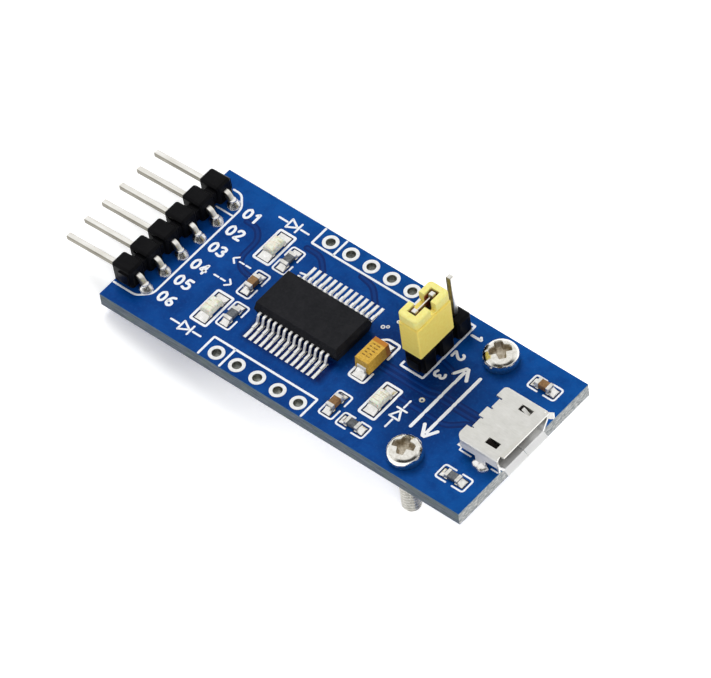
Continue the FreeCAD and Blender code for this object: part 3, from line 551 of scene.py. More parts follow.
def travelled(path):
    """Length along a path at each of its points."""
    return np.concatenate([[0], np.cumsum(np.linalg.norm(np.diff(path, axis=0), axis=1))])


def along_path(s, lengths, rows):
    """Rows of values, read off at lengths s."""
    return np.stack([np.interp(s, lengths, column) for column in rows.T], -1)


def wire(surface, path, y, half=0.3, blunt=0.2):
    """Section |u|^6 + |v|^6 = half^6 along an (x, z) path, times 1 - 0.4 (1 - s / blunt)^2 at its ends."""
    path = np.asarray(path)
    lengths = travelled(path)
    total = lengths[-1]
    end = np.linspace(0, blunt, 6)
    s = np.unique(np.concatenate([end, lengths, total - end]))
    spot = along_path(s, lengths, path)
    way = np.gradient(spot, s, axis=0)
    way = way / np.linalg.norm(way, axis=1)[:, None]
    scale = half * (1 - 0.4 * (1 - np.clip(np.minimum(s, total - s) / blunt, 0, 1)) ** 2)
    spot, way = np.concatenate([spot[:1], spot, spot[-1:]]), np.concatenate([way[:1], way, way[-1:]])
    scale = np.concatenate([[0.0], scale, [0.0]])[:, None]
    a = np.linspace(0, 2 * math.pi, 41)[None, :]
    u = np.sign(np.cos(a)) * np.abs(np.cos(a)) ** (1 / 3) * scale
    v = np.sign(np.sin(a)) * np.abs(np.sin(a)) ** (1 / 3) * scale
    surface.add(spot[:, :1] - way[:, 1:] * u, y + v, spot[:, 1:] + way[:, :1] * u)


def pin_finish(name, centre_y):
    """Tinned wire with painted shade on its flanks, which lie 0.24 mm or more from a pin's middle line."""
    f = Finish(name, metallic=1.0)
    aside = (((f.y - centre_y) / PITCH + 0.5) % 1 - 0.5).size() * PITCH
    # Painted shade: the flanks are greyer than the top, as they catch less light.
    flank_shade = aside.above(0.242, 0.021)
    grain = f.noise(0.5, 4, 0.6, (0.2, 1, 1))
    tone = grain.above(0.5, 0.2)
    bright = f.mix(tone, (226, 223, 214), (250, 249, 245))
    grey = f.mix(tone, (128, 124, 112), (168, 164, 152))
    return f.end(f.mix(flank_shade, bright, grey), 0.26 + 0.1 * grain + 0.08 * flank_shade, grain, 0.008)


DROOP = math.radians(3)
INWARD = np.array([math.cos(DROOP), math.sin(DROOP)])
FACE = np.array([-18.935, 1.237])
BENT = [FACE - 6.59 * INWARD, FACE + 2.64 * INWARD, (HEADER_LEG_X, 0.26), (HEADER_LEG_X, PIN_LOW)]
STRAIGHT = [(JUMPER_X, PIN_LOW), (JUMPER_X, span("jumper_pin_2")[1][2])]
PIN_ROWS = (("header", 6, rounded_path(BENT, 0.3), "_bent"), ("jumper", 3, STRAIGHT, "_straight"))
for row, count, path, ending in PIN_ROWS:
    pin_metal = pin_finish(row + " pin plating", middle(row + "_pin_1")[1])
    for number in range(1, count + 1):
        name = "%s_pin_%d" % (row, number)
        pin = Surface()
        wire(pin, path, middle(name)[1])
        pin.place(name + ending, pin_metal, "pin_metal", [name], outward=True)

# %% [markdown]
# Molten solder wets pad and pin and pulls itself into a hollow curve between them. That curve is carried
# round the pin, with shallow lumps because no joint is perfectly round.

# %% Solder joints
def joint(surface, place, base, up, foot, neck, rise, lean=0.0, seed=0.0):
    """Solder round a pin, foot to neck radius by (1 - t)^1.5, lumpy by cos(2a) and cos(3a)."""
    a = np.linspace(0, 2 * math.pi, 49)[:, None]
    t = np.linspace(0, 1, 20)[None, :]
    bulge = (1 - t) ** 1.5 + 0.35 * np.sin(math.pi * t) * (1 - t)
    lumps = 0.06 * np.cos(2 * a + seed) * t + 0.27 * np.cos(3 * a - 2 * seed) * (1 - t) * t
    radius = (neck + (foot - neck) * bulge) * (1 + lumps * (1 - t))
    radius = np.concatenate([radius, radius[:, -1:] * 0.6, radius[:, -1:] * 0.25], 1)
    height = np.concatenate([t, t[:, -1:] + 0.05, t[:, -1:] + 0.06], 1) * rise
    x = place[0] + radius * np.cos(a) + lean * height
    surface.add(x, place[1] + radius * np.sin(a), base + up * height, flip=up < 0)


solder = metal_finish("solder", (222, 220, 214), (253, 252, 250), 0.24, relief=0.04)
header_joints = Surface()
for i in range(6):
    leg = (HEADER_LEG_X, (i - 2.5) * PITCH)
    joint(header_joints, leg, 0.0, 1, 0.74, 0.37, 0.8, -0.1, 1.3 * i)
    joint(header_joints, leg, UNDER, -1, 0.8, 0.38, 0.9, 0, 0.7 * i)
header_joints.place("header_joints", solder, "solder", ["header_solder"])
jumper_joints = Surface()
for i in range(3):
    joint(jumper_joints, (JUMPER_X, JUMPER_Y + (i - 1) * PITCH), UNDER, -1, 0.8, 0.38, 0.9, 0, 0.9 * i)
jumper_joints.place("jumper_joints", solder, "solder", ["jumper_solder"])

# %% [markdown]
# A chip part is soldered by its two ends: paste melts on the pad and climbs the part. Each pad is a height
# over a rectangle, low and rounded at its border, rising in a hollow curve to the part.

# %% Soldered pads
def soldered_pad(surface, place, way, near, far, foot, width, rise, reach=0.28, seed=0.0, steps=(36, 24)):
    """Pad along a way: z = edge (0.05 + 0.04 dome) + rise e^(-(u - foot) / reach), full inside foot."""
    u = near + (far - near) * (0.5 - 0.5 * np.cos(np.linspace(0, math.pi, steps[0])))[:, None]
    v = width / 2 * np.sin(np.linspace(-math.pi / 2, math.pi / 2, steps[1]))[None, :]
    border = np.minimum(np.minimum(u - near, far - u), width / 2 - np.abs(v))
    edge = np.sqrt(np.clip(border / 0.09, 0, 1))
    dome = np.clip(1 - (2 * v / width) ** 2, 0, 1)
    lumps = 0.5 + 0.5 * np.sin(7 * u + seed) * np.cos(6 * v + 2 * seed)
    climb = rise * np.exp(-np.maximum(u - foot, 0) / reach) * (u > foot - 0.02) * dome ** 0.35
    z = edge * (0.05 + 0.04 * dome * lumps) + climb * np.clip(border / 0.05, 0, 1) * (0.85 + 0.15 * lumps)
    surface.add(place[0] + way[0] * u - way[1] * v, place[1] + way[1] * u + way[0] * v, z)


def both_ends(place, along_y, near, far, foot, width, rise, seed, reach=0.28):
    for k, sign in enumerate((-1, 1)):
        way = (0, sign) if along_y else (sign, 0)
        soldered_pad(pads, place, way, near, far, foot, width, rise, reach, seed + 2.1 * k)


def lies_along_y(name):
    low, high = span(name + "_terminals")
    return high[1] - low[1] > high[0] - low[0]


pads = Surface()
for i, name in enumerate(RESISTORS + CAPACITORS):
    low, high = span(name + "_terminals")
    rise = (high[2] - low[2]) * 0.7
    both_ends(middle(name + "_body"), lies_along_y(name), 0.45, 1.4, 0.8, 0.95, rise, 1.7 * i)
for i, name in enumerate(DIODES):
    both_ends(middle(name + "_base"), True, 0.65, 1.8, 1.0, 1.35, 0.26, 0.9 * i)
both_ends(middle("tantalum_body"), True, 0.8, 2.45, 1.68, 1.4, 0.5, 0.4, 0.22)
for i in range(5):
    soldered_pad(pads, (20.2, PORT_Y + (i - 2) * LEAD_PITCH), (1, 0), -0.15, 1.05, 5, 0.3, 0)
pads.place("soldered_pads", solder, "solder", ["component_pads"])

chip_joints = Surface()
for side in (-1, 1):
    for i in range(14):
        place = ((i - 6.5) * LEAD_PITCH, middle("interface_chip_body")[1])
        soldered_pad(chip_joints, place, (0, side), 3.0, 5.2, 3.95, 0.36, 0.13, 0.3, 0.8 * i, (28, 12))
chip_joints.place("chip_joints", lead_tin, "tinned_copper", ["chip_pads"])

# %% [markdown]
# Milky resin is cast over the diode, sawn, and shrinks, so its top is a soft pillow, not quite flat. It lets
# light in, so its finish scatters some below the surface.

# %% Diode tops
LENS_HALF, LENS_FOOT, LENS_TOP = (0.6, 0.93), 0.3, 0.8


def lens_finish():
    """Cream resin with faint green-yellow patches."""
    f = Finish("milky lens", subsurface_weight=0.3, subsurface_scale=0.0004)
    cloud = f.noise(0.5)
    grain = f.noise(0.22, 4, 0.6, (2.2, 0.6, 1))
    cream = f.mix(grain.above(0.5, 0.2), (226, 225, 202), (250, 252, 240))
    bands = f.noise(0.4, 2, 0.5, (0.4, 2.4, 1))
    cream = f.mix(bands.above(0.6, 0.05) * 0.5, cream, (176, 168, 138))
    colour = f.mix(cloud.above(0.6, 0.06) * 0.4, cream, (204, 200, 148))
    return f.end(colour, 0.18 + 0.16 * grain, cloud, 0.03, 0.6)


def pillow(surface, place, seed):
    """Soft box: z = foot + (top - foot) ((1 - |u|^8)(1 - |v|^10))^(1/3), dented by slow waves."""
    u = np.sin(np.linspace(-math.pi / 2, math.pi / 2, 33))[:, None]
    v = np.sin(np.linspace(-math.pi / 2, math.pi / 2, 49))[None, :]
    body = ((1 - np.abs(u) ** 8) * (1 - np.abs(v) ** 10)) ** (1 / 3)
    waves = 0.02 * np.sin(3.1 * u + seed) * np.cos(4.3 * v - seed) - 0.02
    z = LENS_FOOT + (LENS_TOP - LENS_FOOT + waves) * body
    surface.add(place[0] + LENS_HALF[0] * u, place[1] + LENS_HALF[1] * v, z)


milk = lens_finish()
for i, name in enumerate(DIODES):
    top = Surface()
    pillow(top, middle(name + "_base"), 1.7 * i)
    top.place(name + "_top", milk, "led_lens", [name + "_lens"])

# %% [markdown]
# The lacquer keeps clear of each pad, so a thin dark frame of bare laminate shows round the solder; its near
# black also paints the shade at the pads' edges. A flat patch a few micrometres high is enough, because the
# pad covers all but its rim.

# %% Bare laminate round the pads
clearance = Surface()


def bare_patch(x, y, half_x, half_y):
    """Thin patch, its corners rounded: an outer ring, the same ring raised, and a point in the middle."""
    corners = [(-half_x, -half_y), (half_x, -half_y), (half_x, half_y), (-half_x, half_y)]
    ring = rounded_path(corners, 0.12, True, 4)[:, None, :] * np.array([1, 1, 0.02])[None, :, None]
    clearance.add(x + ring[..., 0], y + ring[..., 1], np.array([0, 0.006, 0.006]))


for sign in (-1, 1):
    for name in RESISTORS + CAPACITORS:
        x, y = middle(name + "_body")[:2]
        if lies_along_y(name):
            bare_patch(x, y + sign * 0.95, 0.57, 0.56)
        else:
            bare_patch(x + sign * 0.95, y, 0.56, 0.57)
    for name in DIODES:
        x, y = middle(name + "_base")[:2]
        bare_patch(x, y + sign * 1.25, 0.78, 0.66)
    x, y = middle("tantalum_body")[:2]
    bare_patch(x, y + sign * 1.65, 0.8, 0.9)
# The frame is near black: bare laminate, and painted shade at the pads' edges as well.
laminate = plastic_finish("bare laminate", (8, 14, 34), (20, 28, 52), 0.5, gloss=0.2)
clearance.place("bare_laminate", laminate, "solder_mask")

# %% [markdown]
# Each side hole is plated through: one skin of tinned copper makes a flat ring on either face and lines the
# wall between. It is duller in the hole, where no solder wave wipes it, and painted darker there as shade.

# %% Plated side holes
BARREL = [(0.85, 0.0), (0.84, 0.035), (0.8, 0.05), (0.54, 0.05), (0.49, 0.03), (0.465, -0.02), (0.46, -0.8),
          (0.465, -1.58), (0.49, -1.63), (0.54, -1.65), (0.8, -1.65), (0.84, -1.635), (0.85, -1.6)]


def turned_about(surface, profile, place, steps=32, flip=False):
    """Profile of (radius, height) pairs carried round an upright axis: (r cos a, r sin a, z)."""
    a = np.linspace(0, 2 * math.pi, steps + 1)[:, None]
    r, z = np.array(profile).T[:, None, :]
    surface.add(place[0] + r * np.cos(a), place[1] + r * np.sin(a), z, flip)


def plating_finish():
    """Bright tin on the rings, rougher and painted darker as shade down in the holes."""
    f = Finish("hole plating", metallic=1.0)
    grain = f.noise(0.25, 4)
    tone = grain.above(0.5, 0.2)
    ring = f.mix(tone, (232, 233, 232), (252, 252, 251))
    wall = f.mix(tone, (112, 114, 108), (178, 180, 172))
    # Painted shade: down in the hole the tin is darker grey, as well as rougher.
    dull_shaded_wall = f.z.below(-0.04, 0.04) * f.z.above(UNDER + 0.04, 0.04)
    return f.end(f.mix(dull_shaded_wall, ring, wall), 0.34 + 0.14 * (grain - 0.5) + 0.15 * dull_shaded_wall, grain, 0.012)


plating = plating_finish()
for side in ("front", "back"):
    name = "plated_holes_" + side
    barrels = Surface()
    for i in range(5):
        turned_about(barrels, BARREL, ((i - 2) * PITCH, middle(name)[1]), 48, True)
    barrels.place(name + "_lined", plating, "tinned_copper", [name])

# %% [markdown]
# The shell is held by two legs pushed through slots, each drowned in a round blob of solder. A blob is half
# an egg with a slightly wavy rim.

# %% Leg solder
LEG_X, LEG_OUT = middle("usb_leg_solder")[0], 3.64
leg_blobs = Surface()
for y in (PORT_Y - LEG_OUT, PORT_Y + LEG_OUT):
    for base, up, high in ((0.0, 1, 0.62), (UNDER, -1, 0.45)):
        rho = np.linspace(1, 0.02, 18)[:, None]
        a = np.linspace(0, 2 * math.pi, 49)[None, :]
        rim = 1 + 0.08 * np.cos(3 * a + y) + 0.05 * np.cos(5 * a)
        outward = np.where(np.sin(a) * np.sign(y) > 0, 1.5, 0.8)
        z = base + up * high * np.sqrt(1 - rho ** 2.4) * (1 + 0.12 * np.cos(2 * a + 1))
        x = LEG_X + 0.95 * rho * rim * np.cos(a)
        leg_blobs.add(x, y + 0.5 * rho * rim * np.sin(a) * outward, z, flip=up > 0)
leg_blobs.place("leg_blobs", solder, "solder", ["usb_leg_solder"], outward=True)

# %% [markdown]
# The screws have a domed head with a pressed cross recess, and a rolled thread. The head is a height over a
# disc, lowered where the cross is. The thread is a radius that rises and falls as it winds down.

# %% Screws
SCREWS = {"screw_front": ((17.25, -7.15), 18), "screw_back": ((17.25, 6.85), 52)}
HEAD_R, HEAD_RIM, HEAD_TOP, WING = 1.8, 0.75, 1.85, 1.12
REACH = -span("screw_front")[0][2]
THREAD_PITCH = 0.4


def crown(r):
    """Height of the domed head at a radius: rim + (top - rim) sqrt(1 - (r / R)^2.3)."""
    share = np.clip(r / HEAD_R, 0, 1)
    return HEAD_RIM + (HEAD_TOP - HEAD_RIM) * np.sqrt(1 - share ** 2.3)


def recess(x, y, turn):
    """Depth of the cross recess: a wing is open where |v| < half width and |u| < its reach."""
    u = x * math.cos(turn) + y * math.sin(turn)
    v = -x * math.sin(turn) + y * math.cos(turn)

    def wing(along, aside):
        end = np.clip((WING - np.abs(along)) / 0.4, 0, 1)
        width = 0.31 + 0.14 * np.clip(1 - np.abs(along), 0, 1)
        wall = np.clip((width - np.abs(aside)) / 0.2 + 0.5, 0, 1)
        return (end ** 0.8) * (wall * wall * (3 - 2 * wall))

    return 0.75 * np.maximum(wing(u, v), wing(v, u))


def screw_surface(place, turn):
    """Head as a polar height field, rim and seat as a profile, thread as r(a, z)."""
    surface = Surface()
    a = np.linspace(0, 2 * math.pi, 193)[:, None]
    r = np.concatenate([np.linspace(0.001, 1.2, 60), np.linspace(1.23, HEAD_R, 18)])[::-1]
    x, y = r * np.cos(a), r * np.sin(a)
    surface.add(place[0] + x, place[1] + y, crown(r) - recess(x, y, turn))
    rim = [(HEAD_R, HEAD_RIM), (1.803, 0.68), (1.8, 0.4), (1.79, 0.2), (1.75, 0.06), (1.68, 0.0), (1.0, 0.0)]
    turned_about(surface, rim, place, 192)
    a = np.linspace(0, 2 * math.pi, 49)[:, None]
    z = np.linspace(0, -REACH, 260)[None, :]
    ridge = np.abs((z / THREAD_PITCH - a / (2 * math.pi)) % 1 - 0.5) * 2
    radius = 1.0 - 0.2 * np.clip(1.25 * ridge - 0.12, 0, 1) * np.clip(-z / 0.5, 0, 1)
    radius = np.minimum(radius, 0.72 + np.maximum(0, z + REACH))
    surface.add(place[0] + radius * np.cos(a), place[1] + radius * np.sin(a), z)
    turned_about(surface, [(0.72, -REACH), (0.4, -REACH), (0.001, -REACH)], place, 48)
    return surface


# %% [markdown]
# Nickel is bright where it is smooth and rougher where the punch pressed it, and the cross is painted darker
# as shade in the recess. The recess is found as the height missing below the dome, so one mask serves both
# screws however they are turned.

# %% Screw plating
def screw_finish():
    """Bright nickel, rougher with painted shade in the cross, grey down in the thread."""
    f = Finish("screw plating")
    grain = f.noise(0.3, 4)
    tone = grain.above(0.5, 0.2)
    (centre_x, front_y), (centre_x, back_y) = (place for place, turn in SCREWS.values())
    x, front, back = f.x - centre_x, f.y - front_y, f.y - back_y
    near = front.work("MINIMUM", front.size(), back.size())
    r = (x * x + near * near) ** 0.5
    dome = HEAD_RIM + (HEAD_TOP - HEAD_RIM) * (1 - (r / HEAD_R) ** 2.3) ** 0.5
    # Painted shade: the cross recess is darker and browner as well as rougher.
    pressed = (dome - f.z).above(0.2, 0.1) * r.below(WING, 0.03) * f.z.above(0.5, 0.1)
    shank = f.z.below(-1.7, 0.2)
    bright = f.mix(tone, (214, 210, 200), (242, 240, 233))
    bright = f.mix(shank * r.below(0.9, 0.07) * 0.75, bright, (138, 138, 126))
    dull = f.mix(tone, (152, 140, 120), (212, 203, 186))
    f.feed(f.shader.inputs["Metallic"], 1 - 0.3 * shank)
    rough = 0.12 + 0.08 * grain + 0.28 * pressed + 0.08 * shank
    return f.end(f.mix(pressed, bright, dull), rough, grain, 0.008)


nickel = screw_finish()
for name, (place, turn) in SCREWS.items():
    screw = screw_surface(place, math.radians(turn))
    screw.place(name + "_threaded", nickel, "screw_nickel", [name], outward=True)

# %% [markdown]
# White ink is screened onto the lacquer. A printed line is a low ridge with round ends, so each line is a
# strip carried along its path, whose half width follows a circle at both ends.

# %% Printed lines
INK_HEIGHT = 0.014


def on_board(points):
    """Points measured from the board's corner, moved to the origin."""
    return [(x + BOARD_LOW[0], y + BOARD_LOW[1]) for x, y in points]


def unit(rows):
    return rows / np.linalg.norm(rows, axis=-1, keepdims=True)


def stroke(surface, path, width, height, closed=False):
    """Low ridge along a path. At s from an end its half width is sqrt(r^2 - (r - s)^2), then r."""
    path = np.asarray(path, float)
    r = width / 2
    lengths = travelled(path)
    keep = np.concatenate([[True], np.diff(lengths) > 1e-6])
    path, lengths = path[keep], lengths[keep]
    total = lengths[-1]
    if closed:
        s = lengths
        half = np.full(len(s), r)
    else:
        cap = r * (1 - np.cos(np.linspace(0, math.pi / 2, 6)))
        s = np.unique(np.concatenate([cap, lengths + r, total + 2 * r - cap]))
        edge = np.minimum(s, total + 2 * r - s)
        half = np.sqrt(np.maximum(r * r - np.maximum(r - edge, 0) ** 2, 1e-8))
        s = s - r
    ways = unit(np.diff(path, axis=0))
    spot = along_path(s, lengths, path)
    spot = spot + np.minimum(s, 0)[:, None] * ways[0] + np.maximum(s - total, 0)[:, None] * ways[-1]
    first, last = (ways[-1:], ways[:1]) if closed else (ways[:1], ways[-1:])
    before, after = np.concatenate([first, ways]), np.concatenate([ways, last])
    normals = unit(np.stack([-(before + after)[:, 1], (before + after)[:, 0]], -1))
    mitre = 1 / np.maximum((normals * np.stack([-before[:, 1], before[:, 0]], -1)).sum(1), 0.4)
    across = unit(along_path(s, lengths, normals))
    half = half * np.interp(s, lengths, mitre)
    share = np.array([-1, -0.92, -0.7, 0, 0.7, 0.92, 1.0])
    lift = np.array([0, 0.65, 1, 1, 1, 0.65, 0])
    flat = spot[:, None, :] + across[:, None, :] * (half[:, None] * share)[:, :, None]
    surface.add(flat[..., 0], flat[..., 1], height * lift * np.minimum(1, half[:, None] / r))


def ink_finish():
    """Screen-printed white ink, slightly uneven."""
    f = Finish("printed ink", gloss=0.3)
    grain = f.noise(0.12, 4)
    return f.end(f.mix(grain, (242, 245, 250), (254, 254, 255)), 0.5 + 0.2 * grain, grain, 0.01, 0.6)


ink = ink_finish()

# %% [markdown]
# Frames are printed round the parts, to show where each one goes. Many are open in the middle of two sides,
# where the ink would run onto the solder.

# %% Printed outlines
outlines = Surface()


def line(points, width=0.2, radius=0.0, closed=False):
    stroke(outlines, rounded_path(on_board(points), radius, closed), width, INK_HEIGHT, closed)


def frame_with_gap(low, high, gap, across=False):
    """Outline in two halves, open in the middle of two facing sides."""
    (u0, v0), (u1, v1) = (low[::-1], high[::-1]) if across else (low, high)
    for end, sign in ((v0, -1), (v1, 1)):
        inner = (v0 + v1) / 2 + sign * gap
        half = [(u0, inner), (u0, end), (u1, end), (u1, inner)]
        line([point[::-1] for point in half] if across else half, 0.2, 0.3)


for y, edge in ((2.52, 0.15), (16.65, 18.75)):
    line([(12.35, edge), (12.35, y), (25.15, y), (25.15, edge)], 0.25, 0.12)
    line([(15.0, y), (15.0, edge)], 0.25)
line([(0.15, 1.9), (2.95, 1.9), (4.15, 3.0), (4.15, 15.9), (3.0, 17.25), (2.0, 17.25)], 0.23, 0.5)
line([(2.0, 14.7), (4.1, 14.7)])
for x0, x1, y0, y1 in ((8.88, 10.8, 12.1, 16.15), (8.9, 10.83, 2.94, 7.03), (29.1, 31.0, 3.8, 7.95)):
    line([(x0, y0), (x0, y1), (x1, y1), (x1, y0)], 0.27, 0.2, True)
for x0, y0, x1, y1 in ((11.25, 12.05, 12.8, 15.27), (11.25, 3.85, 12.88, 7.04), (10.4, 7.8, 11.95, 11.15),
                       (26.1, 1.45, 27.75, 4.65)):
    frame_with_gap((x0, y0), (x1, y1), 0.35)
for x0, y0, x1, y1 in ((28.25, 1.39, 31.5, 2.95), (39.9, 15.4, 43.15, 16.95), (39.8, 2.15, 43.15, 3.81)):
    frame_with_gap((x0, y0), (x1, y1), 0.4, True)
line([(25.5, 7.9), (25.5, 6.5), (27.4, 6.5), (27.4, 7.9)], 0.25, 0.35)
line([(25.4, 11.5), (25.9, 12.0), (27.4, 12.0), (27.4, 10.1)], 0.26, 0.35)
line([(28.8, 10.8), (28.8, 10.3), (31.5, 10.3), (31.5, 18.0), (30.9, 18.0)], 0.25, 0.1)
line([(13.9, 13.22), (14.35, 13.3)], 0.22)
line([(39.72, 6.2), (39.72, 5.85), (41.1, 5.85)], 0.18, 0.1)
line([(43.6, 5.85), (44.35, 5.85)], 0.18)
outlines.place("printed_outlines", ink, "solder_mask", outward=True)

# %% [markdown]
# The pins are counted with plain figures. A font would give flat, closed letters. Figures drawn as pen
# strokes have the even line and round ends of the real print.

# %% Printed figures
FIGURES = {
    "1": [(12, 78), (36, 100), (36, 0)],
    "2": [(2, 78), (10, 95), (30, 100), (52, 92), (56, 72), (45, 50), (2, 0), (58, 0)],
    "3": [(3, 90), (26, 100), (50, 90), (52, 68), (28, 54), (54, 40), (56, 14), (30, 0), (3, 10)],
    "4": [(42, 0), (42, 100), (0, 32), (58, 32)],
    "5": [(52, 100), (10, 100), (6, 56), (30, 62), (54, 48), (56, 18), (32, 0), (3, 8)],
    "6": [(48, 95), (22, 86), (4, 50), (5, 16), (28, 0), (52, 12), (54, 38), (30, 54), (6, 38)],
    "0": [(30, 100), (8, 84), (2, 50), (8, 16), (30, 0), (52, 16), (58, 50), (52, 84), (30, 100)],
    "<": [(50, 95), (0, 50), (50, 5)],
    ">": [(0, 95), (50, 50), (0, 5)],
    "-": [(0, 50), (55, 50)],
}
figures = Surface()


def figure_text(text, x, y, height, width, step, down=False):
    """Row of figures, drawn in hundredths of their height, that runs along X or down along Y."""
    for i, sign in enumerate(text):
        flat = [((a / 100 + i * step) * height, b / 100 * height) for a, b in FIGURES[sign]]
        path = [(x + b, y - a) if down else (x + a, y + b) for a, b in flat]
        stroke(figures, rounded_path(on_board(path), 0.12), width, INK_HEIGHT)


for number, y in enumerate((3.3, 5.75, 8.15, 10.7, 13.25, 15.75), 1):
    figure_text("0%d" % (7 - number), 4.75, y - 0.55, 1.15, 0.29, 0.9)
figure_text("-->", 7.35, 7.75, 0.95, 0.2, 0.85)
figure_text("<--", 7.5, 10.35, 0.95, 0.2, 0.85)
for number, y in enumerate((17.4, 14.7, 11.9), 1):
    figure_text(str(number), 31.95, y, 1.15, 0.29, 0, True)

# %% [markdown]
# Beside each diode stands a diode's drawing sign, a triangle against a bar. Two long arrows in the middle,
# one each way, stand for the signals that the module passes on.

# %% Printed signs
SIGN_SIZE = 1.15


def diode_sign(x, y, turn):
    """Triangle, bar and two wires: the drawing sign of a diode."""
    c, s = math.cos(math.radians(turn)), math.sin(math.radians(turn))
    triangle, bar = [(-0.5, 0.5), (0.4, 0.0), (-0.5, -0.5)], [(0.52, 0.5), (0.52, -0.5)]
    for points in (triangle, bar, [(-1.6, 0), (-0.72, 0)], [(0.78, 0), (1.6, 0)]):
        path = [(x + SIGN_SIZE * (a * c - b * s), y + SIGN_SIZE * (a * s + b * c)) for a, b in points]
        closed = points is triangle
        stroke(figures, rounded_path(on_board(path), 0.02, closed), 0.22, INK_HEIGHT, closed)


for place in ((9.6, 17.25, 0), (9.4, 1.75, 0), (32.35, 5.7, 90)):
    diode_sign(*place)
for x, tip, tail in ((34.25, 13.6, 5.3), (35.95, 5.1, 13.4)):
    way = 1 if tip > tail else -1
    lines = [[(x, tail), (x, tip - way * 0.5)]]
    lines += [[(x + side * 0.78, tip - way * 1.15), (x + side * 0.1, tip)] for side in (-1, 1)]
    for points in lines:
        stroke(figures, on_board(points), 0.36, INK_HEIGHT)
figures.place("printed_figures", ink, "solder_mask", outward=True)

# %% [markdown]
# Copper tracks under the lacquer show as faint raised lines between dark bands, where the copper round them
# is etched away. A wide low stroke makes the bands and a narrow higher one the track.

# %% Tracks
TRACKS = [
    ([(5.6, 15.0), (6.9, 15.0), (8.0, 13.9), (8.0, 11.3), (8.9, 10.2), (10.4, 10.0)], 0.3),
    ([(12.4, 15.9), (14.2, 15.9), (15.5, 14.6)], 0.3),
    ([(18.9, 16.3), (20.6, 16.0), (22.0, 14.6)], 0.3),
    ([(26.8, 9.6), (33.0, 9.6), (33.7, 9.9), (39.2, 9.9)], 0.3),
    ([(26.8, 9.0), (33.3, 9.0), (34.0, 9.3), (39.2, 9.3)], 0.3),
    ([(31.0, 7.2), (36.8, 7.2), (38.4, 8.6), (39.2, 8.6)], 0.35),
    ([(30.6, 13.2), (33.4, 12.6), (34.4, 11.6), (34.4, 10.0)], 0.3),
]


def track_finish():
    """The board's lacquer, a little lighter on a track's crest."""
    f = Finish("solder mask over copper", gloss=0.08)
    grain = f.noise(0.3, 4)
    crest = f.mix(f.noise(5), (8, 50, 116), (11, 60, 130))
    return f.end(f.mix(f.z.above(0.007, 0.002), (7, 42, 104), crest), 0.2 + 0.1 * grain, grain, 0.01)


tracks = Surface()
for points, width in TRACKS:
    path = rounded_path(on_board(points), 0.8)
    stroke(tracks, path, width + 0.4, 0.004)
    stroke(tracks, path, width, 0.012)
tracks.place("copper_tracks", track_finish(), "solder_mask", outward=True)

# %% [markdown]
# A via is a tiny plated hole that joins the copper of the two faces. At this size only its ring shows.

# %% Vias
tinned = metal_finish("tinned copper", (210, 210, 208), (246, 246, 244), 0.36)
vias = Surface()
for x, y, size in ((33.12, 8.28, 0.3), (24.5, 12.81, 0.24), (24.88, 13.09, 0.2), (25.33, 14.16, 0.22)):
    ring = [(0.38 * size, 0.0), (0.45 * size, 0.02), (0.7 * size, 0.03), (0.95 * size, 0.025), (size, 0.0)]
    turned_about(vias, ring, on_board([(x, y)])[0], 24)
vias.place("vias", tinned, "tinned_copper", outward=True)

# %% [markdown]
# The module lies on a white sheet, on its two screws and the tails of its header, so the sheet is tilted to
# touch them. Only the eye, mirrors and glass see the sheet's faint glow, so it lights nothing. The glow is
# painted uneven: stronger to the right and at the far left, where it washes the module's shadow out, and
# weaker near the header's end, where the shadow stays.

# %% Floor
SCREW_X = SCREWS["screw_front"][0][0]
TILT = math.atan2(REACH + PIN_LOW, SCREW_X - HEADER_LEG_X)


def sheet_finish():
    """White sheet, glowing unevenly for eye, mirror and glass rays as painted light that hides the shadow on
    the right, clear from below.
    """
    f = Finish("white sheet", base_color=srgb(247, 247, 247), roughness=0.9, gloss=0.1)
    eye, mirror, glass = f.rays()
    # Painted light: the glow is stronger to the right and past the header's end, which fades the shadow there.
    glow = 0.27 + 0.39 * f.x.above(-3, 7) + 0.12 * f.x.below(-19, 3)
    inputs = {"Color": WHITE, "Strength": eye.largest(mirror).largest(glass) * glow}
    lit = f.add("Emission", {}, inputs).outputs[0]
    both = f.add("AddShader", {}, {0: f.shader.outputs[0], 1: lit}).outputs[0]
    below = f.add("NewGeometry").outputs["Backfacing"]
    clear = f.add("BsdfTransparent").outputs[0]
    sheet = f.add("MixShader", {}, {0: below, 1: both, 2: clear}).outputs[0]
    f.feed(f.tree.nodes["Material Output"].inputs["Surface"], sheet)
    return f.material


along = Vector((math.cos(TILT), 0, -math.sin(TILT)))
centre = Vector((SCREW_X, 0, -REACH - 0.02)) * MM
corners = [centre + along * a + Vector((0, b, 0)) for a, b in ((-2, -2), (2, -2), (2, 2), (-2, 2))]
sheet = bpy.data.meshes.new("floor")
sheet.from_pydata(corners, [], [(0, 1, 2, 3)])
sheet.materials.append(sheet_finish())
floor = bpy.data.objects.new("floor", sheet)
bpy.context.scene.collection.objects.link(floor)
print("floor tilted by", round(math.degrees(TILT), 1))

# %% [markdown]
# The world gives even light from all round, and seen directly it is white, as in a light tent. Polished metal
# needs something dark to mirror, so mirror rays also meet a low dark strip on the near side.

# %% World
DARK_SIDE = (0.8, -0.6, 0.0)


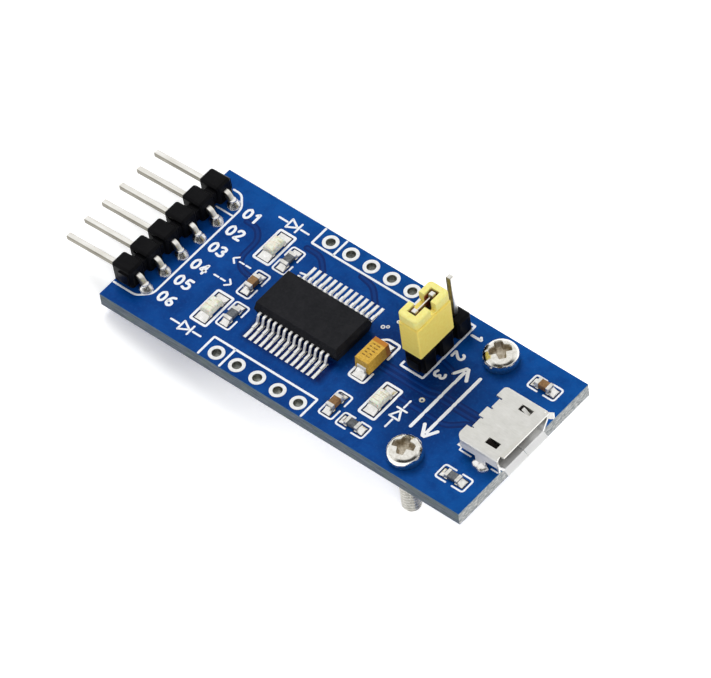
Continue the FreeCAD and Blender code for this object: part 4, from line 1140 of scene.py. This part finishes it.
def make_world():
    """Even light, white to the eye, with a dark strip for mirrors and glass."""
    world = bpy.data.worlds.new("room")
    bpy.context.scene.world = world
    world.use_nodes = True
    room = Nodes(world.node_tree)
    direction = room.add("TexCoord").outputs["Generated"]
    rise = room.split(direction)[2]
    dot = room.add("VectorMath", {"operation": "DOT_PRODUCT"}, {0: direction, 1: DARK_SIDE})
    side = Sum(room, dot.outputs["Value"])
    strip = side.above(0.425, 0.175) * rise.above(0.04, 0.04) * rise.below(0.58, 0.08)
    eye, mirror, glass = room.rays()
    even = room.tree.nodes["Background"]
    room.feed(even.inputs[0], srgb(252, 253, 255))
    room.feed(even.inputs[1], 0.43)
    seen = room.add("Background", {}, {0: WHITE, 1: 1 - 0.95 * strip}).outputs[0]
    white = room.add("Background", {}, {0: WHITE}).outputs[0]
    inputs = {0: mirror.largest(glass), 1: even.outputs[0], 2: seen}
    first = room.add("MixShader", {}, inputs).outputs[0]
    last = room.add("MixShader", {}, {0: eye, 1: first, 2: white}).outputs[0]
    room.feed(room.tree.nodes["World Output"].inputs[0], last)
    print("world nodes", len(room.tree.nodes))


make_world()

# %% [markdown]
# Two large soft lamps shape the parts: one high behind the left shoulder, one low on the right. Each is given
# as the share of full white that it adds to a surface facing it, and its power follows from that.

# %% Lamps
def stand(name, data, turn, rise, distance, aim=Vector(), roll=0.0):
    """Places a lamp or camera at a turn, rise and distance from its aim, and faces it there."""
    turn, rise = math.radians(turn), math.radians(rise)
    way = Vector((math.cos(rise) * math.sin(turn), -math.cos(rise) * math.cos(turn), math.sin(rise)))
    thing = bpy.data.objects.new(name, data)
    thing.location = aim + way * distance
    thing.rotation_mode = "QUATERNION"
    thing.rotation_quaternion = way.to_track_quat("Z", "Y") @ Quaternion((0, 0, 1), math.radians(roll))
    bpy.context.scene.collection.objects.link(thing)
    return thing


def make_lamp(name, turn, rise, distance, width, height, share):
    """Soft lamp: power = share of full white * (pi * distance)^2."""
    lamp = bpy.data.lights.new(name, "AREA")
    lamp.shape = "RECTANGLE"
    lamp.size, lamp.size_y = width, height
    lamp.energy = share * (math.pi * distance) ** 2
    stand(name, lamp, turn, rise, distance).visible_glossy = False
    print(name, round(lamp.energy, 2), "W")


make_lamp("overhead", 238, 58, 0.6, 0.3, 0.3, 0.56)
make_lamp("right fill", 66, 20, 0.7, 0.4, 0.3, 0.38)

# %% [markdown]
# Small things are photographed from far off with a long lens, so near and far edges stay almost parallel. The
# camera's angles, distance and roll were fitted to the board's corners and holes.

# %% Camera
TURN, RISE, ROLL = 46.9667, 50.7712, -8.4704
AIM = Vector((4.46429, 0.72036, 0)) * MM
DISTANCE = 744.4357 * MM

data = bpy.data.cameras.new("camera")
data.sensor_width = 36
data.lens = 401.357
data.clip_start, data.clip_end = 0.01, 10
camera = stand("camera", data, TURN, RISE, DISTANCE, AIM, ROLL)
bpy.context.scene.camera = camera
bpy.context.scene.view_settings.view_transform = "Standard"
print("camera at", camera.location)

# %% [markdown]
# The dressed model must be as large as the drawing. A box's two corners can be turned into plain lists of
# numbers.

# %% Sizes
def plain(bounds):
    """Two corners as lists of numbers."""
    return [[float(value) for value in corner] for corner in bounds]
